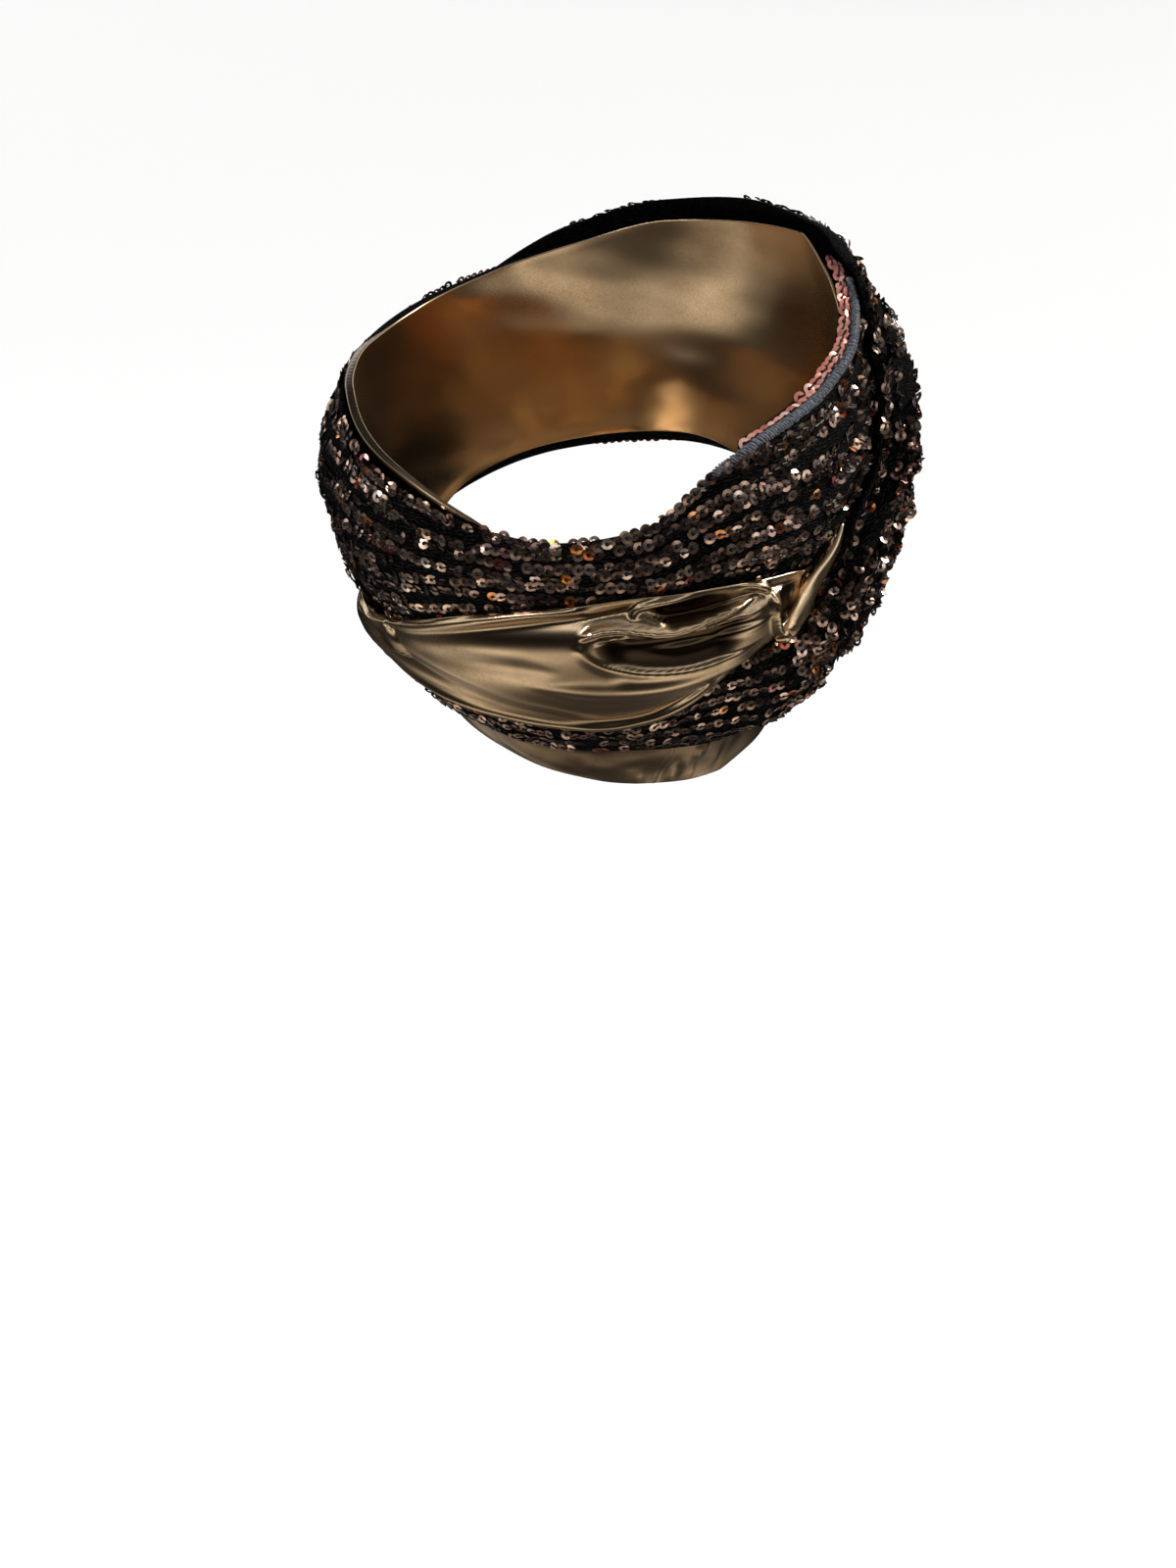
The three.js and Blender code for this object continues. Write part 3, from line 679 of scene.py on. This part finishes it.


# How much painted shade darkens the gold in its folds and below the lower band, and how much
# painted highlight lightens it on its ridges and on the roll
paintedShadingLook = {
    "nape": 0.74, "napeFrom": 5 * mm, "napeOver": 13 * mm,
    "fold": 0.97, "foldFrom": 0.3 * mm, "foldOver": 2.9 * mm,
    "ridge": 0.3, "ridgeOver": 2.2 * mm, "roll": 0.8,
}
belowBand = under[:, None] - heightAt
# painted shadow on the lining just below the lower band, fading further down
napePaintedShade = paintedShadingLook["nape"] * (1 - smoothStep((belowBand - paintedShadingLook["napeFrom"]) / paintedShadingLook["napeOver"]))
# painted shade deep in the leaf's folds, minus painted highlight on its ridges
foldDepth = -foldField(leafDips) - paintedShadingLook["foldFrom"]
leafPaintedShading = paintedShadingLook["fold"] * smoothStep(foldDepth / paintedShadingLook["foldOver"]) \
    - paintedShadingLook["ridge"] * smoothStep(foldField(leafRidges) / paintedShadingLook["ridgeOver"])


def addCloth(name, layer, rows, node, material, span=None, painted_shading=None):
    columns = columnSpan(*span) if span else allColumns
    piece = bandMesh(name, layer, columns, rows, not span, painted_shading=painted_shading)
    finishPiece(piece, [node], material)
    return piece


liningBand = addCloth("gold_lining", lining, 30, "lining_band", gold, painted_shading=napePaintedShade)
upperBand = addCloth("upper_sequin_cloth", upper, 38, "upper_wrap", knit)
lowerBand = addCloth("lower_sequin_cloth", lower, 42, "lower_wrap", knit)
leafPiece = addCloth("turned_leaf", leaf, 64, "gold_leaf", gold, leafSpan, leafPaintedShading)
facingPiece = addCloth("turned_facing", facing, 12, "sequin_facing", knit, facingSpan)


def ringsRound(centre, thick, wide, phi):
    # rings round a line beside the hollow, thick outwards and wide across, and its ways outwards
    along = unit(np.gradient(centre, axis=0))
    out = centre * [1, 1, 0]
    out = unit(out - (out * along).sum(axis=1)[:, None] * along)
    side = np.cross(along, out)
    return (centre[:, None] + out[:, None] * (thick * np.cos(phi))[..., None]
            + side[:, None] * (wide * np.sin(phi))[..., None]), out


def rollPlaces():
    # the rolled strip that climbs from the leaf's lower corner into the fold of the side
    roll = {
        "angle": (56.0, 57.6, 59.2, 60.8, 62.8, 65.4, 67.8, 70.2),
        "height": (-36.6, -36.0, -33.4, -29.4, -23.0, -16.0, -10.4, -4.5),
        "size": (1.6, 2.9, 3.6, 3.6, 3.2, 2.5, 1.8, 0.8),
        "steps": 70, "sides": 40, "oval": 0.05, "sink": 0.25,
        "grooves": ((2.4, 2.2, 0.07, 0.30), (5.0, 1.4, 0.06, 0.4)),   # start, twist, depth, width
    }
    turns = np.linspace(roll["angle"][0], roll["angle"][-1], roll["steps"])
    z = rowCurve(roll["angle"], roll["height"])(turns) * mm
    size = rowCurve(roll["angle"], roll["size"])(turns) * mm
    column = np.round((turns + 180) / grid["angleStep"]).astype(int)
    beneath = np.maximum(underLeaf, coverOf(leaf, -1.2 * mm))
    seat = np.max([sampleColumn(beneath, column, z + size * side) for side in (-0.7, 0, 0.7)], axis=0)
    seat = np.convolve(np.pad(seat, 5, mode="edge"), np.ones(11) / 11, mode="valid")
    centre = placeAt(turns, z, seat + size * (1 - roll["sink"]))
    share = np.linspace(0, 1, roll["steps"])[:, None]
    phi = fullTurn(roll["sides"])
    girth = 1
    for start, twist, depth, width in roll["grooves"]:
        away = (phi - start - twist * share + math.pi) % (2 * math.pi) - math.pi
        girth = girth - depth * np.exp(-(away / width) ** 2)
    radius = size[:, None] * (girth + roll["oval"] * np.cos(2 * phi + 3 * share))
    ends = np.sqrt(np.clip(1 - (np.abs(2 * share - 1)) ** 14, 0, 1)) + 0.02
    return ringsRound(centre, radius * ends, radius * ends, phi)[0]


def tubeMesh(name, rings):
    # a closed body through rings of places, its two ends fanned to their middles
    steps, sides = rings.shape[:2]
    places = np.vstack([rings.reshape(-1, 3), rings[[0, -1]].mean(axis=1)]).tolist()
    length = np.concatenate([[0], np.cumsum(np.linalg.norm(np.diff(rings.mean(axis=1), axis=0), axis=1))])
    girth = np.linalg.norm(rings[steps // 2] - np.roll(rings[steps // 2], 1, axis=0), axis=1).sum()
    faces, uvs = [], []
    for i in range(steps - 1):
        for j in range(sides):
            k = (j + 1) % sides
            faces.append((i * sides + j, i * sides + k, (i + 1) * sides + k, (i + 1) * sides + j))
            a, b = girth * j / sides, girth * (j + 1) / sides
            uvs += [(length[i], a), (length[i], b), (length[i + 1], b), (length[i + 1], a)]
    first, last = steps * sides, steps * sides + 1
    end = (steps - 1) * sides
    for j in range(sides):
        k = (j + 1) % sides
        faces += [(first, k, j), (last, end + j, end + k)]
        uvs += [(0, 0), (0, girth * k / sides), (0, girth * j / sides)]
        uvs += [(length[-1], 0), (length[-1], girth * j / sides), (length[-1], girth * k / sides)]
    return addBody(name, places, faces, uvs)


rollPiece = tubeMesh("turned_roll", rollPlaces())
# painted highlight: the whole roll is painted lighter than the gold's own colour
writeAttribute(rollPiece.data, "painted_shading", [-paintedShadingLook["roll"]] * len(rollPiece.data.vertices))
finishPiece(rollPiece, ["gold_roll"], gold)

print("stage 3: sequins and overlock")


def newTree(name, inputs):
    tree = bpy.data.node_groups.new(name, "GeometryNodeTree")
    tree.interface.new_socket("Geometry", in_out="INPUT", socket_type="NodeSocketGeometry")
    for label, kind, value in inputs:
        socket = tree.interface.new_socket(label, in_out="INPUT", socket_type="NodeSocket" + kind)
        if value is not None:
            socket.default_value = value
    tree.interface.new_socket("Geometry", in_out="OUTPUT", socket_type="NodeSocketGeometry")
    return tree, tree.nodes.new("NodeGroupInput").outputs, tree.nodes.new("NodeGroupOutput").inputs


def randomVector(tree, spread, seed):
    ends = [shaderNode(tree, "VectorMath", {"operation": "SCALE", 0: (side, side, side), "Scale": spread})
            for side in (-1, 1)]
    return turnNode(tree, "RandomValue", {"data_type": "FLOAT_VECTOR", "Min": ends[0], "Max": ends[1],
                                          "Seed": seed})


def namedAttribute(tree, name, kind):
    return geoNode(tree, "InputNamedAttribute", {"data_type": kind, "Name": name})


def circleNode(tree, sides, radius):
    return geoNode(tree, "CurvePrimitiveCircle", {"mode": "RADIUS", "Resolution": sides, "Radius": radius})


def rowSeats(tree, given):
    rows = geoNode(tree, "MeshToCurve", {"Mesh": given["Geometry"]})
    return geoNode(tree, "CurveToPoints", {"mode": "LENGTH", "Curve": rows, "Length": given["Pitch"]})


def placeParts(tree, points, part, way, tilt):
    # a copy of the part on each point, turned its way and then tilted by small angles
    tilt = turnNode(tree, "EulerToRotation", {0: tilt})
    turned = turnNode(tree, "RotateRotation", {"rotation_space": "LOCAL", 0: way, 1: tilt})
    return geoNode(tree, "InstanceOnPoints", {"Points": points, "Instance": part, "Rotation": turned})


def sequinTree():
    # rings with a hole, sewn on rows by a stitch over one side, tilted at random
    tree, given, result = newTree("sewn_sequins", [
        ("Diameter", "Float", 3.4 * mm), ("Hole", "Float", 1.25 * mm), ("Thickness", "Float", 0.30 * mm),
        ("Sides", "Int", 12), ("Pitch", "Float", 2.9 * mm), ("Missing", "Float", 0.1),
        ("Tilt", "Float", 0.3), ("Jitter", "Float", 0.25 * mm), ("Stitch", "Float", 0.62 * mm),
        ("Seed", "Int", 1), ("Finish", "Material", None), ("Yarn", "Material", None)])

    def times(a, b):
        return mathNode(tree, "MULTIPLY", a, b)

    def seedPlus(step):
        return mathNode(tree, "ADD", given["Seed"], step)

    middle = times(mathNode(tree, "ADD", given["Diameter"], given["Hole"]), 0.25)
    wide = times(mathNode(tree, "SUBTRACT", given["Diameter"], given["Hole"]), 0.5)
    circle = circleNode(tree, given["Sides"], middle)
    shape = circleNode(tree, 3, 1.0)
    flat = shaderNode(tree, "CombineXYZ", {"X": times(wide, 0.577), "Y": times(given["Thickness"], 0.667),
                                           "Z": 1.0})
    for change in ({"Rotation": (0, 0, math.pi / 2)}, {"Scale": flat}, {"Rotation": (0, 0, 0.13)}):
        shape = geoNode(tree, "Transform", {"Geometry": shape, **change})
    body = geoNode(tree, "CurveToMesh", {"Curve": circle, "Profile Curve": shape})
    ring = geoNode(tree, "SetShadeSmooth", {"Geometry": body, "Shade Smooth": False})
    bar = geoNode(tree, "MeshCylinder", {
        "fill_type": "NGON", "Vertices": 4, "Side Segments": 1, "Radius": times(given["Stitch"], 0.5),
        "Depth": times(given["Diameter"], 0.58)})
    spot = shaderNode(tree, "CombineXYZ", {"X": times(given["Diameter"], 0.25), "Y": 0.0,
                                           "Z": times(given["Thickness"], 0.7)})
    laid = geoNode(tree, "Transform", {"Geometry": bar, "Translation": spot,
                                       "Rotation": (0, math.pi / 2, 0), "Scale": (0.6, 1.0, 1.0)})
    marked = geoNode(tree, "StoreNamedAttribute", {"data_type": "BOOLEAN", "domain": "FACE",
                                                   "Geometry": laid, "Name": "stitch", "Value": True})
    sewn = geoNode(tree, "JoinGeometry", {})
    for part in (ring, marked):
        tree.links.new(part.outputs[0], sewn.inputs[0])
    seats = rowSeats(tree, given)
    gone = turnNode(tree, "RandomValue", {"data_type": "BOOLEAN", "Probability": given["Missing"],
                                          "Seed": seedPlus(11.0)}).outputs[3]
    kept = geoNode(tree, "DeleteGeometry", {"domain": "POINT", "Geometry": seats, "Selection": gone})
    moved = geoNode(tree, "SetPosition", {
        "Geometry": kept, "Offset": randomVector(tree, given["Jitter"], seedPlus(23.0))})
    way = turnNode(tree, "AxesToRotation", {
        "primary_axis": "Z", "secondary_axis": "X", 0: namedAttribute(tree, "out", "FLOAT_VECTOR"),
        1: seats.outputs["Tangent"]})
    jumble = namedAttribute(tree, "jumble", "FLOAT")
    amount = times(given["Tilt"], mathNode(tree, "ADD", jumble, 1.0))
    placed = placeParts(tree, moved, sewn, way, randomVector(tree, amount, seedPlus(37.0)))
    tone = turnNode(tree, "RandomValue", {"data_type": "FLOAT", 2: 0.0, 3: 1.0,
                                          "Seed": seedPlus(53.0)}).outputs[1]
    toned = geoNode(tree, "StoreNamedAttribute", {"data_type": "FLOAT", "domain": "INSTANCE",
                                                  "Geometry": placed, "Name": "tone", "Value": tone})
    real = geoNode(tree, "RealizeInstances", {"Geometry": toned})
    finish = geoNode(tree, "SetMaterial", {"Geometry": real, "Material": given["Finish"]})
    sewnDown = geoNode(tree, "SetMaterial", {
        "Geometry": finish, "Selection": namedAttribute(tree, "stitch", "BOOLEAN"),
        "Material": given["Yarn"]})
    tree.links.new(sewnDown.outputs[0], result["Geometry"])
    return tree


def runTree(guide, tree, values, name):
    # the tree's result as a plain mesh; the guide and its modifier go
    modifier = guide.modifiers.new(tree.name, "NODES")
    modifier.node_group = tree
    for item in tree.interface.items_tree:
        if item.item_type == "SOCKET" and item.in_out == "INPUT" and item.name in values:
            modifier[item.identifier] = values[item.name]
    bpy.context.view_layer.update()
    mesh = bpy.data.meshes.new_from_object(guide.evaluated_get(bpy.context.evaluated_depsgraph_get()))
    mesh.name = name
    guide.modifiers.clear()
    spare = guide.data
    bpy.data.objects.remove(guide)
    bpy.data.meshes.remove(spare)
    mesh.calc_loop_triangles()
    print(name, len(mesh.loop_triangles), "triangles")
    return addObject(name, mesh)


def coilTree():
    # thread loops side by side along a line, each leaning over
    tree, given, result = newTree("overlock_loops", [
        ("Pitch", "Float", 0.95 * mm), ("Width", "Float", 2.8 * mm), ("Height", "Float", 2.2 * mm),
        ("Thread", "Float", 0.8 * mm), ("Lean", "Float", 0.6), ("Seed", "Int", 1),
        ("Finish", "Material", None)])
    flat = shaderNode(tree, "CombineXYZ", {"X": given["Height"], "Y": given["Width"], "Z": 1.0})
    oval = geoNode(tree, "Transform", {"Geometry": circleNode(tree, 12, 0.5), "Scale": flat})
    strand = circleNode(tree, 4, mathNode(tree, "MULTIPLY", given["Thread"], 0.5))
    wire = geoNode(tree, "CurveToMesh", {"Curve": oval, "Profile Curve": strand})
    smooth = geoNode(tree, "SetShadeSmooth", {"Geometry": wire})
    seats = rowSeats(tree, given)
    way = turnNode(tree, "AxesToRotation", {
        "primary_axis": "Z", "secondary_axis": "X", 0: seats.outputs["Tangent"],
        1: namedAttribute(tree, "out", "FLOAT_VECTOR")})
    lean = shaderNode(tree, "CombineXYZ", {"X": given["Lean"], "Y": 0.0, "Z": 0.0})
    both = shaderNode(tree, "VectorMath", {"operation": "ADD", 0: randomVector(tree, 0.15, given["Seed"]),
                                           1: lean})
    real = geoNode(tree, "RealizeInstances", {"Geometry": placeParts(tree, seats, smooth, way, both)})
    finish = geoNode(tree, "SetMaterial", {"Geometry": real, "Material": given["Finish"]})
    tree.links.new(finish.outputs[0], result["Geometry"])
    return tree


def lineGuide(name, places, outs, edges=None, jumbles=None):
    # a line for a tree to work along, with the way outwards and the disorder at each place
    if edges is None:
        edges = [(i, i + 1) for i in range(len(places) - 1)]
    mesh = bpy.data.meshes.new(name)
    mesh.from_pydata(np.array(places).tolist(), edges, [])
    writeAttribute(mesh, "out", outs, "FLOAT_VECTOR", "vector")
    if jumbles is not None:
        writeAttribute(mesh, "jumble", jumbles)
    return addObject(name, mesh)


def makeOverlock():
    # charcoal thread looped round the upper band's cut edge, over a thin core
    edge = {"from": 36, "to": 107, "rise": 12, "fall": 6, "thin": 0.15, "sink": 0.9 * mm, "core": 0.42,
            "thread": 0.95}
    columns = columnSpan(edge["from"], edge["to"])
    turns = gridAngles[columns]
    fade = edge["thin"] + (1 - edge["thin"]) * smoothStep((turns - edge["from"]) / edge["rise"]) \
        * smoothStep((edge["to"] - turns) / edge["fall"])
    wide, thick = edgeStyle["width"] / 2 * fade, edgeStyle["thickness"] / 2 * fade
    z = high[columns] + (edgeStyle["width"] / 2 + cloth["layerPlay"] / 2) * fade - edge["sink"]
    away = highRow[columns] + edgeStyle["thickness"] / 2
    centre = placeAt(turns, z, away)
    thick, wide = (thick * 2 * edge["core"])[:, None], (wide * 2 * edge["core"])[:, None]
    rings, out = ringsRound(centre, thick, wide, fullTurn(12))
    core = tubeMesh("overlock_core", rings)
    finishPiece(core, ["serged_edge"], thread)
    loops = runTree(lineGuide("overlock_line", centre[4:-4], out[4:-4]), coilTree(),
                    {"Width": edgeStyle["width"] * edge["thread"], "Finish": thread,
                     "Height": edgeStyle["thickness"] * edge["thread"]}, "overlock_loops")
    finishPiece(loops)
    return [core, loops]


jumbleAt = 1.9 * fadeBetween(62, 140, 14, 40)   # more disorder in the gathers


# How the rows wander, how close they may run, and what hides them: the lower band's edges, the
# leaf and deep folds
rowLook = {
    "wander": 0.35, "waves": 7, "phase": 1.9, "closest": 2.9 * mm, "lift": 0.35 * mm,
    "underEdge": 2 * mm, "overEdge": 1.5 * mm, "upperLeaf": 1.5 * mm, "lowerLeaf": 2 * mm,
    "deepest": 2.9 * mm,
}


def sequinRows(name, layer, count, visible, span=(-180, 180)):
    # rows along the band at even shares of its width; where it narrows, only every second or fourth
    surface = placeAt(angleAt, heightAt, layer["outer"])
    around = np.gradient(np.concatenate([surface[-1:], surface, surface[:1]]), axis=0)[1:-1]
    out = unit(np.cross(np.gradient(surface, axis=1), around))
    out[(out * surface * [1, 1, 0]).sum(axis=2) < 0] *= -1
    columns = np.flatnonzero((gridAngles >= span[0]) & (gridAngles < span[1]))[::2]
    bottom, top = layer["bottom"][columns], layer["top"][columns]
    gap, closest = (top - bottom) / count, rowLook["closest"]
    every = np.select([gap >= closest, gap * 2 >= closest, gap * 4 >= closest], [1, 2, 4], 8)
    places, outs, jumbles, edges = [], [], [], []
    for row in range(count):
        wave = np.sin(gridAngles[columns] * degree * rowLook["waves"] + row * rowLook["phase"])
        z = bottom + (top - bottom) * ((row + 0.5) / count + rowLook["wander"] / count * wave)
        cells = np.round((z - grid["lowest"]) / grid["heightStep"]).astype(int)
        normals = out[columns, cells]
        points = placeAt(gridAngles[columns], z, sampleColumn(layer["outer"], columns, z)) \
            + normals * rowLook["lift"]
        shown = visible(columns, z) & (row % every == every // 2)
        for k in np.flatnonzero(shown):
            if k and shown[k - 1]:
                edges.append((len(places) - 1, len(places)))
            places.append(points[k])
            outs.append(normals[k])
            jumbles.append(jumbleAt[columns[k]])
    return lineGuide(name, places, outs, edges, jumbles)


def edgeRow(name, turns, height, away, lean):
    # one row along an edge; lean is how much it looks outwards, up and towards the back
    z = np.interp(turns, gridAngles, height)
    places = placeAt(turns, z, np.interp(turns, gridAngles, away))
    radial = np.stack([-np.sin(turns * degree), np.cos(turns * degree), np.zeros(len(turns))], axis=-1)
    outs = unit(radial * lean[0] + [0, lean[2], lean[1]])
    return lineGuide(name, places, outs, jumbles=np.zeros(len(turns)))


def inLeaf(columns, z, margin):
    turn = gridAngles[columns]
    beside = (turn > leafSpan[0] + 1) & (turn < leafSpan[1] - 1)
    return beside & (z > leafBottom[columns] + margin) & (z < leafTop[columns] - margin)


def upperShown(columns, z):
    covered = (z > under[columns] + rowLook["underEdge"]) & (z < over[columns] - rowLook["overEdge"])
    return ~covered & ~inLeaf(columns, z, rowLook["upperLeaf"])


def lowerShown(columns, z):
    shallow = sampleColumn(lowerRelief, columns, z) > -rowLook["deepest"]
    return ~inLeaf(columns, z, rowLook["lowerLeaf"]) & shallow


sequins = sequinTree()
sequinLook = {"Pitch": 2.8 * mm, "Missing": 0.10, "Tilt": 0.30, "Finish": bronze, "Yarn": yarn}
rimAway = highRow + cloth["sequinWall"] / 2


def sewSequins(name, rows, seed, **look):
    piece = runTree(rows, sequins, {**sequinLook, "Seed": seed, **look}, name)
    finishPiece(piece)
    return piece


upperSequins = sewSequins("upper_sequins", sequinRows("upper_rows", upper, 16, upperShown), 101)
rimSequins = sewSequins("rim_sequins", edgeRow("rim_row", np.arange(-44, 38, 1.0), high - 0.4 * mm,
                                               rimAway + 0.6 * mm, (0.85, 0.5, 0.1)), 151, Missing=0.3)
for k, (turns, rise, inwards) in enumerate([((44, 109), 2.0, 0.4), ((60, 110), 3.2, 1.6)]):
    row = edgeRow("facing_row", np.arange(*turns, 1.0), high + rise * mm, highRow - inwards * mm,
                  (0.5, 0.55, 0.7))
    sewSequins(f"facing_sequins_{k + 1}", row, 161 + k, Finish=coral)
lowerParts = (("back", (-90, 90), 201), ("right", (90, 180), 301), ("left", (-180, -90), 401))
lowerSequins = [
    sewSequins("lower_sequins_" + side, sequinRows("lower_rows", lower, 29, lowerShown, span), seed)
    for side, span, seed in lowerParts]
overlockPieces = makeOverlock()

print("stage 4: camera and light")


def addCamera():
    view = {"place": (-0.14309, 0.41555, 0.11776), "down": 28.90, "heading": -70.23, "lens": 30.375}
    data = bpy.data.cameras.new("camera")
    data.lens = view["lens"]
    data.sensor_width = 36
    data.sensor_fit = "AUTO"
    data.clip_start = 0.01
    camera = addObject("camera", data)
    camera.location = view["place"]
    heading, down = view["heading"] * degree, view["down"] * degree
    way = Vector((math.cos(heading) * math.cos(down), math.sin(heading) * math.cos(down), -math.sin(down)))
    camera.rotation_euler = way.to_track_quat("-Z", "Y").to_euler()
    bpy.context.scene.camera = camera


def addLight(name, kind, way, settings):
    data = bpy.data.lights.new(name, kind)
    for key, value in settings.items():
        setattr(data, key, value)
    light = addObject(name, data)
    light.rotation_euler = Vector(way).to_track_quat("-Z", "Y").to_euler()
    return light


def addFloor():
    # wide and pale, rising a little far away
    look = {"drop": 0.40, "radius": 40.0, "rise": 3.2, "rings": 24, "sides": 96,
            "colour": (0.876, 0.895, 0.922)}
    rings, sides = look["rings"], look["sides"]
    share = np.repeat(np.arange(1, rings + 1) / rings, sides) ** 2
    turn = np.tile(fullTurn(sides), rings)
    places = np.stack([look["radius"] * share * np.cos(turn), look["radius"] * share * np.sin(turn),
                       look["rise"] * share ** 2 - look["drop"]], axis=-1)
    faces = [(0, 1 + j, 1 + (j + 1) % sides) for j in range(sides)]
    for i in range(rings - 1):
        for j in range(sides):
            a, b = 1 + i * sides + j, 1 + i * sides + (j + 1) % sides
            faces.append((a, a + sides, b + sides, b))
    mesh = bpy.data.meshes.new("floor")
    mesh.from_pydata([(0, 0, -look["drop"]), *places.tolist()], [], faces)
    mesh.polygons.foreach_set("use_smooth", [True] * len(mesh.polygons))
    mesh.materials.append(makeMaterial("floor", {"Roughness": 0.8, "Base Color": (*look["colour"], 1)})[0])
    floor = addObject("floor", mesh)
    floor.visible_glossy = False


def addRoom():
    # a dim room with two lit bands and a lit ceiling for the gold, seen as an even backdrop
    backdrop = 0.96
    world = bpy.data.worlds.new("studio")
    world.use_nodes = True
    tree = world.node_tree
    way = shaderNode(tree, "TexCoord", {}).outputs["Generated"]
    parts = shaderNode(tree, "SeparateXYZ", {"Vector": way}).outputs
    height = parts["Z"]
    room = addRamp(tree, mapRange(tree, height, (-1.0, 1.0), (0.0, 1.0)), [
        (0.00, (0.06, 0.055, 0.05)), (0.03, (0.09, 0.08, 0.07)), (0.06, (0.50, 0.46, 0.40)),
        (0.10, (1.00, 0.93, 0.83)), (0.14, (0.85, 0.79, 0.70)), (0.17, (0.30, 0.275, 0.24)),
        (0.22, (0.09, 0.085, 0.075)), (0.40, (0.03, 0.03, 0.03)), (0.56, (0.04, 0.04, 0.04)),
        (0.62, (1.10, 1.08, 1.05)), (0.69, (1.10, 1.10, 1.10)), (0.74, (0.07, 0.07, 0.07)),
        (0.92, (0.06, 0.06, 0.06)), (0.97, (0.55, 0.56, 0.58)), (1.00, (0.55, 0.56, 0.58))])
    # low down it is darker straight behind the camera and beyond the part
    lowDown = mathNode(tree, "LESS_THAN", height, -0.1)
    toBack = mathNode(tree, "MULTIPLY", parts["Y"], lowDown)
    patches = mapRange(tree, noiseNode(tree, way, 1.7, 1.5), (0.35, 0.65), (0.6, 1.35))
    dim = mathNode(tree, "MULTIPLY", patches, mapRange(tree, toBack, (0.45, 0.75), (1.0, 0.35)))
    dim = mathNode(tree, "MULTIPLY", dim, mapRange(tree, toBack, (-0.45, -0.15), (0.14, 1.0)))
    seen = shaderNode(tree, "LightPath", {}).outputs["Is Camera Ray"]
    plain = shaderNode(tree, "Mix", {"data_type": "RGBA", 0: seen, 6: room, 7: (1, 1, 1, 1)})
    strength = shaderNode(tree, "Mix", {"data_type": "FLOAT", 0: seen, 2: dim, 3: backdrop})
    setNode(tree, tree.nodes["Background"], {"Color": plain.outputs[2], "Strength": strength})
    bpy.context.scene.world = world


def addLamps():
    # a low sun and a soft lamp that looks at the part
    fillPlace = (0.75, 0.95, 0.85)
    addLight("key", "SUN", (0.66, 0.54, -0.66), {
        "energy": 4.2, "angle": 7 * degree, "color": (1.0, 0.965, 0.92)})
    fill = addLight("fill", "AREA", -Vector(fillPlace), {
        "shape": "DISK", "size": 0.5, "energy": 7, "color": (0.97, 0.98, 1.0)})
    fill.location = fillPlace


addCamera()
addFloor()
addRoom()
addLamps()
bpy.context.scene.view_settings.view_transform = "Standard"
